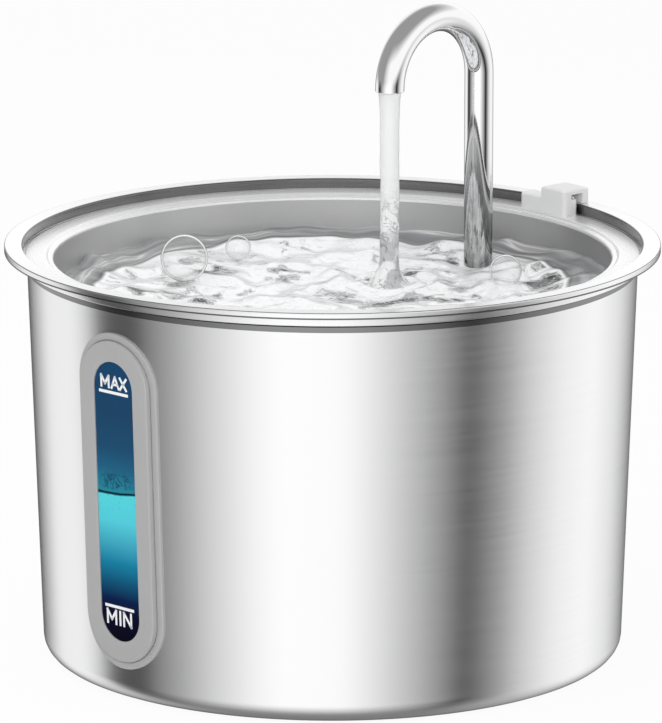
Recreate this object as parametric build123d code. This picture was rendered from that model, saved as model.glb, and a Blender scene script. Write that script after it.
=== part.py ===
from build123d import *
import math
import os

# Pet water fountain: a stainless bucket with a level window, a drinking tray that hangs in its
# rim, a gooseneck spout on the tray, and a filter box with a small pump standing inside.
# Millimetres, +Z up. The origin is on the floor under the middle of the bucket. The window
# looks along -Y, and the spout and the cord clip stand on the +Y side.

# ---- bucket ----
rim_height = 134.6
rim_radius = 105.0
rim_flat_width = 3.5
rim_bend_radius = 1.6
lip_drop = 2.05
bucket_sheet = 0.7
ledge_drop = 5.5
ledge_width = 2.1
wall_taper = 4.45
base_corner_radius = 6.0
foot_proud = 0.6
base_band_width = 19.35
base_dish_rise = 1.6
base_dish_slope = 2.5
sheet_bend_radius = 1.5
ledge_inner_bend = 0.3
ledge_outer_bend = 0.9
lip_bend_radius = 0.5

# ---- rubber feet under the base dish ----
foot_count = 4
foot_radius = 6.0
foot_ring_inset = 12.0
foot_edge_radius = 0.5

# ---- level window ----
window_top_gap = 8.65
window_base_gap = 10.95
window_flange_thickness = 0.7
window_flange_border = 2.35
window_face_proud = 1.3
window_face_side_border = 6.4
window_face_end_border = 7.05
window_edge_radius = 0.4
window_step_radius = 0.3
pane_width = 16.7
pane_recess = 0.4
pane_flange_margin = 1.8
pane_lip_cover = 0.6
pane_side_clearance = 0.05
wall_slot_margin = 0.5
gasket_thickness = 0.3
gasket_clearance = 0.05
window_wall_gap = 0.05
retainer_border = 7.0
retainer_depth = 4.2
window_screw_radius = 1.25
window_screw_head_radius = 2.2
window_screw_head_height = 1.4
window_screw_bite = 0.8
window_screw_rows = 3
window_screw_end_inset = 10.3
thread_clearance = 0.02
window_screw_land = 0.9
screw_hole_clearance = 0.25

# ---- drinking tray ----
tray_sheet = 0.6
tray_hem_depth = 1.4
tray_rim_clearance = 0.5
tray_flange_width = 9.3
well_taper = 2.0
well_floor_drop = 28.0
well_corner_radius = 6.0
well_step_drop = 0.8
well_step_run = 0.7
well_land_width = 1.6
well_step_bend = 0.45
well_crown_radius = 0.7
flange_corner_radius = 0.7
drain_hole_radius = 1.8
drain_ring_pitch = 8.0
drain_ring_count = 3
drain_first_ring_holes = 6

# ---- spout ----
spout_wall_distance = 19.0
spout_reach = 42.0
spout_tube_radius = 4.7
spout_tube_wall = 0.6
spout_bend_top = 66.55
spout_outlet_drop = 21.5
waterway_radius = 3.2
sleeve_wall = 1.45
sleeve_shoulder_width = 2.0
sleeve_shoulder_height = 3.0
sleeve_shoulder_chamfer = 1.0
sleeve_length = 17.0
sleeve_seat_depth = 8.0
spin_clearance = 0.05
grommet_wall = 1.45
grommet_flange_width = 2.5
grommet_flange_thickness = 1.4
grommet_seat_clearance = 0.1

# ---- cord clip on the tray flange ----
clip_angle = -4.4
clip_length = 21.5
clip_depth = 6.4
clip_height = 5.3
clip_rim_gap = 1.1
clip_edge_radius = 0.8
clip_corner_radius = 1.6
bridge_length = 11.0
bridge_rim_landing = 1.0
bridge_rise = 3.4
bridge_leg = 2.6
bridge_tunnel_height = 1.7
clip_rim_clearance = 0.1
tongue_length = 8.0
tongue_depth = 3.0
tongue_drop = 3.2
tongue_clearance = 0.4
cord_channel_radius = 1.9

# ---- filter box ----
box_length = 76.0
box_depth = 72.0
box_rear_gap = 16.5
box_corner_radius = 14.0
box_wall = 1.8
box_floor = 1.8
box_leg_height = 2.2
box_leg_radius = 4.0
box_shelf_height = 60.0
box_shelf_width = 1.6
box_shelf_thickness = 1.6
box_slot_width = 2.6
box_slot_height = 26.0
box_slot_pitch = 5.6
box_slot_count = 9
box_slot_base = 14.0
cord_notch_width = 4.6
cord_notch_depth = 5.0

# ---- filter box lid ----
lid_thickness = 2.0
lid_overhang = 1.2
lid_skirt_depth = 4.0
lid_skirt_clearance = 0.3
lid_skirt_wall = 1.2
lid_slot_width = 3.0
lid_slot_pitch = 6.0
lid_slot_count = 7
lid_slot_length = 34.0
lid_tab_length = 20.0
lid_tab_depth = 2.4
lid_tab_height = 7.0
lid_tab_inset = 6.0
lid_tab_radius = 3.5
lid_edge_radius = 0.6
riser_passage_clearance = 1.2

# ---- filter cartridge ----
cartridge_clearance = 0.5
cartridge_height = 15.0
cartridge_lid_gap = 5.0
cartridge_wall = 1.4
cartridge_floor = 1.4
cartridge_floor_hole = 6.0
cartridge_floor_pitch = 9.0
cartridge_floor_margin = 9.0
cartridge_floor_columns = 7
cartridge_floor_rows = 5
media_clearance = 0.3
carbon_thickness = 6.5
cotton_thickness = 6.0

# ---- pump ----
suction_cup_height = 4.0
suction_cup_radius = 6.5
suction_cup_neck = 2.5
suction_cup_spread_x = 26.0
suction_cup_spread_y = 16.0
pump_width = 42.0
pump_height = 34.0
pump_edge_radius = 4.0
volute_depth = 14.0
volute_radius = 15.0
volute_wall = 2.0
volute_back_wall = 4.0
rotor_well_radius = 7.2
rotor_well_depth = 22.0
rotor_side_gap = 0.8
rotor_end_gap = 0.9
impeller_side_gap = 2.5
impeller_hub_radius = 4.0
impeller_hub_recess = 1.0
impeller_disc_thickness = 1.2
impeller_cover_gap = 0.7
impeller_vane_thickness = 1.2
impeller_vane_count = 6
impeller_end_play = 0.5
rotor_stem_radius = 2.6
shaft_radius = 1.1
shaft_bore_clearance = 0.06
bush_radius = 3.0
bush_length = 2.6
nozzle_wall = 1.6
nozzle_height = 12.0
pump_cover_thickness = 2.0
inlet_radius = 9.0
inlet_sectors = 4
inlet_sector_angle = 45.0
cover_hub_wall = 1.2
adjuster_overlap = 2.5
adjuster_thickness = 1.6
adjuster_gap = 0.3
adjuster_knob_length = 16.0
adjuster_knob_width = 2.4
adjuster_knob_height = 2.0
adjuster_pivot_radius = 1.6
adjuster_pivot_clearance = 0.06
potting_cap_thickness = 2.5
coil_bay_wall = 2.2
coil_length = 18.0
coil_thickness = 2.4
coil_fit = 0.3
coil_bay_clearance = 0.45
core_width = 5.0
core_height = 11.0
core_arm_length = 25.0
core_arm_gap = 1.0
cable_gland_radius = 3.2
cable_gland_height = 6.0
cable_gland_chamfer = 0.8
cable_gland_bore_radius = 1.9
cable_gland_across = 13.0
foam_height = 44.0
foam_clearance = 0.5

# ---- riser between pump and spout ----
riser_wall = 1.95
riser_overlap = 8.0
riser_socket_gap = 0.3

# ---- places and sizes that follow from the sizes above ----
rim_flat_inner_radius = rim_radius - rim_flat_width
collar_radius = rim_flat_inner_radius - rim_bend_radius
wall_top_radius = collar_radius - ledge_width
wall_base_radius = wall_top_radius - wall_taper
base_dish_radius = wall_base_radius - base_band_width
foot_ring_radius = base_dish_radius - foot_ring_inset
ledge_height = rim_height - ledge_drop
wall_lean = math.atan2(wall_top_radius - wall_base_radius, ledge_height - foot_proud)
dish_under_height = foot_proud + base_dish_rise
bucket_floor_height = dish_under_height + bucket_sheet

window_face_width = pane_width + 2 * window_face_side_border
window_flange_width = window_face_width + 2 * window_flange_border
window_flange_length = ledge_height - foot_proud - window_top_gap - window_base_gap
window_face_length = window_flange_length - 2 * window_flange_border
pane_length = window_face_length - 2 * window_face_end_border
window_centre_height = foot_proud + window_base_gap + window_flange_length / 2
window_screw_row_pitch = (pane_length - 2 * window_screw_end_inset) / (window_screw_rows - 1)

flange_height = ledge_height + bucket_sheet + tray_hem_depth
tray_edge_radius = collar_radius - bucket_sheet - tray_rim_clearance
well_edge_radius = tray_edge_radius - tray_flange_width
well_floor_radius = well_edge_radius - well_taper
well_floor_height = rim_height - well_floor_drop
spout_offset = well_floor_radius - spout_wall_distance

sleeve_radius = spout_tube_radius + sleeve_wall
sleeve_shoulder_radius = sleeve_radius + sleeve_shoulder_width
sleeve_bottom = well_floor_height + grommet_flange_thickness + sleeve_shoulder_height - sleeve_length
grommet_neck_radius = sleeve_radius + spin_clearance + grommet_wall
grommet_flange_radius = grommet_neck_radius + grommet_flange_width

box_rear = spout_offset + box_rear_gap
box_centre = box_rear - box_depth / 2
box_front = box_rear - box_depth
box_floor_top = bucket_floor_height + box_leg_height + box_floor
box_top_height = box_shelf_height + cartridge_height + cartridge_lid_gap

pump_base = box_floor_top + suction_cup_height
pump_top = pump_base + pump_height
rotor_axis_height = (pump_base + pump_top) / 2
volute_front = spout_offset - volute_depth / 2
volute_rear = volute_front + volute_depth
cavity_front = volute_front + volute_back_wall
cavity_depth = volute_rear - cavity_front
well_front = cavity_front - rotor_well_depth
coil_bay_rear = well_front - coil_bay_wall
coil_bay_depth = core_width + 2 * (coil_fit + coil_thickness + coil_bay_clearance)
coil_middle = coil_bay_rear - coil_bay_depth / 2
motor_front = coil_bay_rear - coil_bay_depth - potting_cap_thickness
pump_middle = (motor_front + volute_rear) / 2
rotor_radius = rotor_well_radius - rotor_side_gap
rotor_front = well_front + bush_length + impeller_end_play
rotor_length = cavity_front - rotor_end_gap - rotor_front
impeller_front = cavity_front + impeller_end_play
impeller_radius = volute_radius - volute_wall - impeller_side_gap
impeller_vane_height = (cavity_depth - bush_length - impeller_cover_gap
                        - impeller_end_play - impeller_disc_thickness)
impeller_hub_length = impeller_vane_height - impeller_hub_recess
core_arm_across = coil_length / 2 + core_arm_gap + core_width / 2
core_arm_rear = coil_middle - core_width / 2 + core_arm_length
adjuster_radius = inlet_radius + adjuster_overlap
nozzle_radius = waterway_radius + nozzle_wall
nozzle_top = pump_top + nozzle_height
riser_radius = sleeve_radius + spin_clearance + riser_wall
riser_top = sleeve_bottom + riser_overlap
riser_bottom = nozzle_top - riser_overlap


def save(name, *solids):
    """Write one node: a single solid, or a group of equal solids, as parts/NAME.step."""
    body = solids[0] if len(solids) == 1 else Compound(children=list(solids))
    body.label = name
    export_step(body, f"parts/{name}.step")


def turned_sheet(points, radii, thickness, side):
    """Turn a sheet-metal section about Z, from the line of one of its two faces."""
    line = FilletPolyline(*points, radius=radii)
    section = make_face(offset(line, amount=thickness, side=side).edges())
    return revolve(Plane.XZ * section, axis=Axis.Z)


def ring(outer, inner, bottom, top, x=0.0, y=0.0):
    """A plain tube standing on `bottom`, or a disc where the inner radius is zero."""
    profile = Circle(outer) if inner == 0 else Circle(outer) - Circle(inner)
    return Pos(x, y, bottom) * extrude(profile, top - bottom)


def ring_along_y(outer, inner, front, rear, height, x=0.0):
    """A tube lying along +Y between two planes."""
    profile = Circle(outer) if inner == 0 else Circle(outer) - Circle(inner)
    return Plane((x, front, height), x_dir=(1, 0, 0), z_dir=(0, 1, 0)) * extrude(profile, rear - front)


# ---- bucket: one sheet, dished base, stepped collar, turned-over lip ----
def wall_cone(gap):
    """Everything inside the bucket wall's outer face, grown outwards by `gap`."""
    slant_gap = gap / math.cos(wall_lean)
    top = rim_height
    top_radius = wall_base_radius + (top - foot_proud) * math.tan(wall_lean) + slant_gap
    side = Polyline(
        (0, foot_proud), (wall_base_radius + slant_gap, foot_proud), (top_radius, top), (0, top), close=True
    )
    return revolve(Plane.XZ * make_face(side), axis=Axis.Z)


def window_plane(proud):
    """Plane square to the wall at the window, `proud` outside the wall's foremost line."""
    wall_radius = wall_base_radius + (window_centre_height - foot_proud) * math.tan(wall_lean)
    outward = Vector(0, -math.cos(wall_lean), -math.sin(wall_lean))
    origin = Vector(0, -wall_radius, window_centre_height) + outward * proud
    return Plane(origin, x_dir=(1, 0, 0), z_dir=outward)


def window_slab(width, length, inner_proud, outer_proud):
    """A slab with round ends, standing square to the wall between two offsets from it."""
    slot = Rot(0, 0, 90) * SlotOverall(length, width)
    return window_plane(inner_proud) * extrude(slot, outer_proud - inner_proud)


def window_screw_places():
    """Across and along positions of the screws in the window's border."""
    across = pane_width / 2 + pane_flange_margin + window_screw_radius + window_screw_land
    return [
        (side * across, (row - (window_screw_rows - 1) / 2) * window_screw_row_pitch)
        for side in (-1, 1)
        for row in range(window_screw_rows)
    ]


def window_pins(radius, inner_proud, outer_proud):
    """One round pin at each window screw."""
    return [
        window_plane(inner_proud) * Pos(across, along, 0) * extrude(Circle(radius), outer_proud - inner_proud)
        for across, along in window_screw_places()
    ]


inside_wall = -6.0
outside_wall = 3.0
wall_slot_width = pane_width - 2 * wall_slot_margin
wall_slot_length = pane_length - 2 * wall_slot_margin


def make_bucket():
    underside = [
        (0, dish_under_height),
        (base_dish_radius, dish_under_height),
        (base_dish_radius + base_dish_slope, foot_proud),
        (wall_base_radius, foot_proud),
        (wall_top_radius, ledge_height),
        (collar_radius, ledge_height),
        (collar_radius, rim_height - bucket_sheet),
        (rim_radius - bucket_sheet, rim_height - bucket_sheet),
        (rim_radius - bucket_sheet, rim_height - lip_drop),
    ]
    radii = [sheet_bend_radius, sheet_bend_radius, base_corner_radius, ledge_inner_bend, ledge_outer_bend,
             rim_bend_radius, lip_bend_radius]
    shell = turned_sheet(underside, radii, bucket_sheet, Side.LEFT)
    shell -= window_slab(wall_slot_width, wall_slot_length, inside_wall, outside_wall)
    for hole in window_pins(window_screw_radius + screw_hole_clearance, inside_wall, outside_wall):
        shell -= hole
    return shell


def make_feet():
    feet = []
    for index in range(foot_count):
        angle = math.tau * (index + 0.5) / foot_count
        foot = ring(foot_radius, 0, 0, dish_under_height)
        foot = fillet(foot.edges().group_by(Axis.Z)[0], foot_edge_radius)
        feet.append(Pos(foot_ring_radius * math.cos(angle), foot_ring_radius * math.sin(angle), 0) * foot)
    return feet


# ---- window: bezel outside, pane and gasket trapped behind it, retainer and screws inside ----
pane_front = window_face_proud - pane_recess
pane_shoulder = window_face_proud - pane_lip_cover
pane_flange_width = pane_width + 2 * pane_flange_margin
pane_flange_length = pane_length + 2 * pane_flange_margin


def make_bezel():
    flange = window_slab(window_flange_width, window_flange_length, inside_wall, outside_wall)
    flange &= wall_cone(window_flange_thickness)
    face = window_slab(window_face_width, window_face_length, inside_wall, window_face_proud)
    outward = Axis(window_plane(0).origin, window_plane(0).z_dir)
    flange = fillet(flange.faces().sort_by(outward)[-1].edges(), window_step_radius)
    face = fillet(face.faces().sort_by(outward)[-1].edges(), window_edge_radius)
    bezel = flange + face
    bezel -= window_slab(pane_width, pane_length, inside_wall, window_face_proud)
    bezel -= window_slab(pane_flange_width + 2 * pane_side_clearance,
                         pane_flange_length + 2 * pane_side_clearance, inside_wall, pane_shoulder)
    bezel -= wall_cone(window_wall_gap)
    pilot_end = window_screw_bite + thread_clearance
    for pilot in window_pins(window_screw_radius + thread_clearance, inside_wall, pilot_end):
        bezel -= pilot
    return bezel


def make_pane():
    front = window_slab(pane_width - 2 * pane_side_clearance, pane_length - 2 * pane_side_clearance,
                        inside_wall, pane_front)
    flange = window_slab(pane_flange_width, pane_flange_length, inside_wall, pane_shoulder)
    return front + flange - wall_cone(gasket_thickness)


def make_gasket():
    outer = window_slab(pane_flange_width, pane_flange_length, inside_wall, pane_shoulder)
    inner = window_slab(wall_slot_width, wall_slot_length, inside_wall, pane_shoulder)
    return (outer - inner) & (wall_cone(gasket_thickness - gasket_clearance) - wall_cone(window_wall_gap))


def make_retainer():
    width = wall_slot_width + 2 * retainer_border
    length = wall_slot_length + 2 * retainer_border
    frame = window_slab(width, length, -retainer_depth, 0)
    frame -= window_slab(wall_slot_width, wall_slot_length, inside_wall, outside_wall)
    frame &= wall_cone(-bucket_sheet - window_wall_gap)
    for hole in window_pins(window_screw_radius + screw_hole_clearance, inside_wall, outside_wall):
        frame -= hole
    return frame


def make_window_screws():
    shanks = window_pins(window_screw_radius, -retainer_depth, window_screw_bite)
    heads = window_pins(window_screw_head_radius, -retainer_depth - window_screw_head_height, -retainer_depth)
    return [head + shank for head, shank in zip(heads, shanks)]


# ---- drinking tray: hemmed flange on the ledge, stepped well edge, drained floor ----
def make_tray():
    land_height = flange_height - well_step_drop
    top_face = [
        (0, well_floor_height),
        (well_floor_radius, well_floor_height),
        (well_edge_radius, land_height),
        (well_edge_radius + well_land_width, land_height),
        (well_edge_radius + well_land_width + well_step_run, flange_height),
        (tray_edge_radius, flange_height),
        (tray_edge_radius, flange_height - tray_hem_depth),
    ]
    radii = [well_corner_radius, well_crown_radius, well_step_bend, well_crown_radius, flange_corner_radius]
    tray = turned_sheet(top_face, radii, tray_sheet, Side.RIGHT)
    floor_cut = 2 * tray_sheet
    cut_bottom = well_floor_height - floor_cut
    cut_top = well_floor_height + floor_cut
    grommet_hole = grommet_neck_radius + grommet_seat_clearance
    tray -= ring(grommet_hole, 0, cut_bottom, cut_top, 0, spout_offset)
    holes = [(0.0, 0.0)]
    for ring_index in range(1, drain_ring_count + 1):
        radius = ring_index * drain_ring_pitch
        count = ring_index * drain_first_ring_holes
        for index in range(count):
            angle = math.tau * index / count
            holes.append((radius * math.cos(angle), radius * math.sin(angle)))
    for x, y in holes:
        tray -= ring(drain_hole_radius, 0, cut_bottom, cut_top, x, y)
    notch = clip_plane() * Pos(0, clip_tongue_place, 0) * Box(
        tongue_length + 2 * tongue_clearance, tongue_depth + 2 * tongue_clearance, 4 * tray_sheet
    )
    return tray - notch


# ---- spout: bent steel tube pressed into a sleeve that turns in the tray's grommet ----
def make_spout_tube():
    bend_radius = spout_reach / 2
    bend_height = rim_height + spout_bend_top - bend_radius
    foot = Vector(0, spout_offset, well_floor_height + grommet_flange_thickness
                  + sleeve_shoulder_height - sleeve_seat_depth)
    outlet = Vector(0, spout_offset - spout_reach, rim_height + spout_bend_top - spout_outlet_drop)
    riser = Line(foot, (0, spout_offset, bend_height))
    bend_plane = Plane((0, spout_offset - bend_radius, bend_height), x_dir=(0, 1, 0), z_dir=(1, 0, 0))
    bend = bend_plane * CenterArc((0, 0, 0), bend_radius, 0, 180)
    drop = Line((0, outlet.Y, bend_height), outlet)
    path = Wire([riser.edge(), bend.edge(), drop.edge()])
    start = Plane(foot, x_dir=(1, 0, 0), z_dir=(0, 0, 1))
    outer = sweep(start * Circle(spout_tube_radius), path=path)
    inner = sweep(start * Circle(spout_tube_radius - spout_tube_wall), path=path)
    return outer - inner


def make_spout_sleeve():
    shoulder_base = well_floor_height + grommet_flange_thickness
    shoulder_top = shoulder_base + sleeve_shoulder_height
    shoulder = ring(sleeve_shoulder_radius, 0, shoulder_base, shoulder_top, 0, spout_offset)
    shoulder = chamfer(shoulder.edges().group_by(Axis.Z)[-1], sleeve_shoulder_chamfer)
    sleeve = shoulder + ring(sleeve_radius, 0, sleeve_bottom, shoulder_top, 0, spout_offset)
    sleeve -= ring(spout_tube_radius, 0, shoulder_top - sleeve_seat_depth, shoulder_top, 0, spout_offset)
    return sleeve - ring(waterway_radius, 0, sleeve_bottom, shoulder_top, 0, spout_offset)


def make_grommet():
    neck_bottom = well_floor_height - tray_sheet
    neck = ring(grommet_neck_radius, 0, neck_bottom, well_floor_height, 0, spout_offset)
    upper = ring(grommet_flange_radius, 0, well_floor_height,
                 well_floor_height + grommet_flange_thickness, 0, spout_offset)
    lower = ring(grommet_flange_radius, 0, neck_bottom - grommet_flange_thickness, neck_bottom,
                 0, spout_offset)
    bore = ring(sleeve_radius + spin_clearance, 0, neck_bottom - 2 * grommet_flange_thickness,
                well_floor_height + 2 * grommet_flange_thickness, 0, spout_offset)
    return upper + neck + lower - bore


# ---- cord clip: a block on the flange with a bridge over the collar on to the rim ----
clip_outer_face = collar_radius - bucket_sheet - clip_rim_gap
clip_inner_face = clip_outer_face - clip_depth
clip_tongue_place = clip_inner_face + clip_depth / 2
bridge_reach = rim_flat_inner_radius + bridge_rim_landing - clip_inner_face


def clip_plane():
    """On the tray flange under the clip, with local +Y pointing out through the rim."""
    return Plane((0, 0, flange_height), x_dir=(1, 0, 0), z_dir=(0, 0, 1)) * Rot(0, 0, clip_angle)


def make_clip():
    block = Pos(0, clip_tongue_place, clip_height / 2) * Box(clip_length, clip_depth, clip_height)
    block = fillet(block.edges().filter_by(Axis.Z), clip_corner_radius)
    block = fillet(block.edges().group_by(Axis.Z)[-1], clip_edge_radius)
    bridge_x = clip_length / 2 - bridge_length / 2
    bridge_top = clip_height + bridge_rise
    leg_bottom = rim_height - flange_height + clip_rim_clearance
    arch_bottom = clip_height - clip_edge_radius
    arch = Pos(bridge_x, clip_inner_face + bridge_reach / 2, (arch_bottom + bridge_top) / 2) * Box(
        bridge_length, bridge_reach, bridge_top - arch_bottom
    )
    leg = Pos(bridge_x, clip_inner_face + bridge_reach - bridge_leg / 2, (leg_bottom + bridge_top) / 2) * Box(
        bridge_length, bridge_leg, bridge_top - leg_bottom
    )
    hood = arch + leg
    front_corner = hood.edges().filter_by(Axis.Z).group_by(Axis.Y)[0].sort_by(Axis.X)[-1]
    hood = fillet(front_corner, clip_corner_radius)
    hood = fillet(hood.edges().group_by(Axis.Z)[-1], clip_edge_radius)
    tunnel_width = bridge_reach - bridge_leg - clip_depth / 2
    tunnel_y = clip_inner_face + bridge_reach - bridge_leg - tunnel_width / 2
    tunnel_top = clip_height + bridge_tunnel_height
    tunnel = Pos(bridge_x, tunnel_y, (arch_bottom + tunnel_top) / 2) * Box(
        2 * bridge_length, tunnel_width, tunnel_top - arch_bottom
    )
    channel = Plane((bridge_x, clip_inner_face + bridge_reach, leg_bottom), x_dir=(1, 0, 0),
                    z_dir=(0, -1, 0)) * extrude(Circle(cord_channel_radius), bridge_leg)
    tongue = Pos(0, clip_tongue_place, -tongue_drop / 2) * Box(tongue_length, tongue_depth, tongue_drop)
    return clip_plane() * (block + (hood - tunnel - channel) + tongue)


# ---- filter box: slotted cup on four legs, with a shelf for the cartridge ----
def box_outline(inset):
    """The box's rounded outline in plan, moved inwards by `inset`."""
    return Pos(0, box_centre) * RectangleRounded(
        box_length - 2 * inset, box_depth - 2 * inset, box_corner_radius - inset
    )


def box_layer(inset, bottom, top):
    return Pos(0, 0, bottom) * extrude(box_outline(inset), top - bottom)


def make_box():
    floor_bottom = box_floor_top - box_floor
    body = box_layer(0, floor_bottom, box_top_height)
    body -= box_layer(box_wall, box_floor_top, box_top_height)
    shelf = box_layer(box_wall / 2, box_shelf_height - box_shelf_thickness, box_shelf_height)
    shelf -= box_layer(box_wall + box_shelf_width, 0, box_top_height)
    body += shelf
    slot_middle = (box_slot_count - 1) / 2
    for index in range(box_slot_count):
        place = (index - slot_middle) * box_slot_pitch
        middle = (place, box_front, box_slot_base + box_slot_height / 2)
        slot = Plane(middle, x_dir=(0, 0, 1), z_dir=(0, 1, 0))
        body -= slot * extrude(SlotOverall(box_slot_height, box_slot_width), box_wall)
    body -= Pos(box_length / 2, box_centre, box_top_height) * Box(
        4 * box_wall, cord_notch_width, 2 * cord_notch_depth
    )
    for x in (-1, 1):
        for y in (-1, 1):
            leg_x = x * (box_length / 2 - box_corner_radius)
            leg_y = box_centre + y * (box_depth / 2 - box_corner_radius)
            body += ring(box_leg_radius, 0, bucket_floor_height, floor_bottom, leg_x, leg_y)
    return body


def riser_notch(radius, bottom, top):
    """A U-shaped way for the riser, open towards the rear wall of the box."""
    slot = Pos(0, spout_offset) * Circle(radius)
    slot += Pos(0, spout_offset + box_rear_gap / 2) * Rectangle(2 * radius, box_rear_gap)
    return Pos(0, 0, bottom) * extrude(slot, top - bottom)


def make_lid():
    lid = box_layer(-lid_overhang, box_top_height, box_top_height + lid_thickness)
    lid = fillet(lid.edges().group_by(Axis.Z)[-1], lid_edge_radius)
    skirt_inset = box_wall + lid_skirt_clearance
    skirt = box_layer(skirt_inset, box_top_height - lid_skirt_depth, box_top_height)
    skirt -= box_layer(skirt_inset + lid_skirt_wall, 0, box_top_height)
    skirt -= riser_notch(riser_radius + riser_passage_clearance, 0, box_top_height)
    skirt -= Pos(box_length / 2, box_centre, box_top_height) * Box(
        box_length / 2, cord_notch_width, 2 * cord_notch_depth
    )
    lid += skirt
    lid -= ring(riser_radius + riser_passage_clearance, 0, box_top_height - lid_thickness,
                box_top_height + 2 * lid_thickness, 0, spout_offset)
    slot_middle = (lid_slot_count - 1) / 2
    for index in range(lid_slot_count):
        x = (index - slot_middle) * lid_slot_pitch
        slot = Rot(0, 0, 90) * SlotOverall(lid_slot_length, lid_slot_width)
        lid -= Pos(x, box_centre - lid_slot_pitch, box_top_height) * extrude(slot, lid_thickness)
    tab_base = box_top_height + lid_thickness
    tab = Pos(0, box_front + lid_tab_inset, tab_base + lid_tab_height / 2) * Box(
        lid_tab_length, lid_tab_depth, lid_tab_height
    )
    tab = fillet(tab.edges().filter_by(Axis.Y).group_by(Axis.Z)[-1], lid_tab_radius)
    return lid + tab


# ---- cartridge: gridded frame with a carbon pad and a cotton pad in it ----
cartridge_inset = box_wall + cartridge_clearance


def make_cartridge_frame():
    top = box_shelf_height + cartridge_height
    passage = riser_radius + riser_passage_clearance
    frame = box_layer(cartridge_inset, box_shelf_height, top)
    frame -= riser_notch(passage, 0, top)
    well = box_layer(cartridge_inset + cartridge_wall, box_shelf_height + cartridge_floor, top)
    well -= riser_notch(passage + cartridge_wall, 0, top)
    frame -= well
    for column in range(cartridge_floor_columns):
        for row in range(cartridge_floor_rows):
            x = (column - (cartridge_floor_columns - 1) / 2) * cartridge_floor_pitch
            y = box_front + cartridge_floor_margin + row * cartridge_floor_pitch
            frame -= Pos(x, y, box_shelf_height) * Box(
                cartridge_floor_hole, cartridge_floor_hole, 4 * cartridge_floor
            )
    return frame


def media_pad(bottom, thickness):
    inset = cartridge_inset + cartridge_wall + media_clearance
    pad = box_layer(inset, bottom, bottom + thickness)
    hole = riser_radius + riser_passage_clearance + cartridge_wall + media_clearance
    return pad - riser_notch(hole, bottom, bottom + thickness)


# ---- pump: potted motor behind a volute, magnet rotor on a ceramic shaft ----
def pump_block(width, front, rear, bottom, top):
    return Pos(0, (front + rear) / 2, (bottom + top) / 2) * Box(width, rear - front, top - bottom)


def make_pump_housing():
    motor = pump_block(pump_width, motor_front, volute_front, pump_base, pump_top)
    motor = fillet(motor.edges().filter_by(Axis.Y), pump_edge_radius)
    volute = ring_along_y(volute_radius, 0, volute_front, volute_rear, rotor_axis_height)
    saddle = pump_block(2 * volute_radius, volute_front, volute_rear, pump_base, rotor_axis_height)
    throat = ring(nozzle_radius + volute_wall, 0, rotor_axis_height, pump_top, 0, spout_offset)
    nozzle = ring(nozzle_radius, 0, pump_top, nozzle_top, 0, spout_offset)
    housing = motor + volute + saddle + throat + nozzle
    housing -= ring_along_y(volute_radius - volute_wall, 0, cavity_front, volute_rear, rotor_axis_height)
    housing -= ring_along_y(rotor_well_radius, 0, well_front, cavity_front, rotor_axis_height)
    housing -= ring(waterway_radius, 0, rotor_axis_height + volute_radius / 2, nozzle_top,
                    0, spout_offset)
    housing -= pump_block(pump_width - 2 * coil_bay_wall, motor_front, coil_bay_rear,
                          pump_base + coil_bay_wall, pump_top - coil_bay_wall)
    for side in (-1, 1):
        pocket = Pos(side * core_arm_across, (coil_bay_rear + core_arm_rear) / 2, rotor_axis_height)
        housing -= pocket * Box(
            core_width + 2 * coil_fit,
            core_arm_rear - coil_bay_rear + 2 * coil_fit,
            core_height + 2 * coil_fit,
        )
    return housing - ring(cable_gland_bore_radius, 0, pump_top - 2 * coil_bay_wall, pump_top,
                          cable_gland_across, coil_middle)


def make_potting_cap():
    return pump_block(pump_width - 2 * coil_bay_wall, motor_front, motor_front + potting_cap_thickness,
                      pump_base + coil_bay_wall, pump_top - coil_bay_wall)


def make_core():
    span = 2 * core_arm_across + core_width
    limb = Pos(0, coil_middle, rotor_axis_height) * Box(span, core_width, core_height)
    for side in (-1, 1):
        arm_front = coil_middle - core_width / 2
        limb += Pos(side * core_arm_across, (arm_front + core_arm_rear) / 2, rotor_axis_height) * Box(
            core_width, core_arm_rear - arm_front, core_height
        )
    return limb


def make_coil():
    section = RectangleRounded(core_width + 2 * coil_fit + 2 * coil_thickness,
                               core_height + 2 * coil_fit + 2 * coil_thickness, coil_thickness)
    section -= Rectangle(core_width + 2 * coil_fit, core_height + 2 * coil_fit)
    start = Plane((-coil_length / 2, coil_middle, rotor_axis_height), x_dir=(0, 1, 0), z_dir=(1, 0, 0))
    return start * extrude(section, coil_length)


def make_gland():
    gland_top = pump_top + cable_gland_height
    gland = ring(cable_gland_radius, 0, pump_top, gland_top, cable_gland_across, coil_middle)
    gland = chamfer(gland.edges().group_by(Axis.Z)[-1], cable_gland_chamfer)
    return gland - ring(cable_gland_bore_radius, 0, pump_top, gland_top, cable_gland_across, coil_middle)


def make_suction_cups():
    cups = []
    for x in (-1, 1):
        for y in (-1, 1):
            half = Polyline(
                (0, 0), (suction_cup_radius, 0), (suction_cup_neck, suction_cup_height / 2),
                (suction_cup_neck, suction_cup_height), (0, suction_cup_height), close=True,
            )
            cup = revolve(Plane.XZ * make_face(half), axis=Axis.Z)
            cups.append(Pos(x * suction_cup_spread_x / 2, pump_middle + y * suction_cup_spread_y / 2,
                            box_floor_top) * cup)
    return cups


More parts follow.
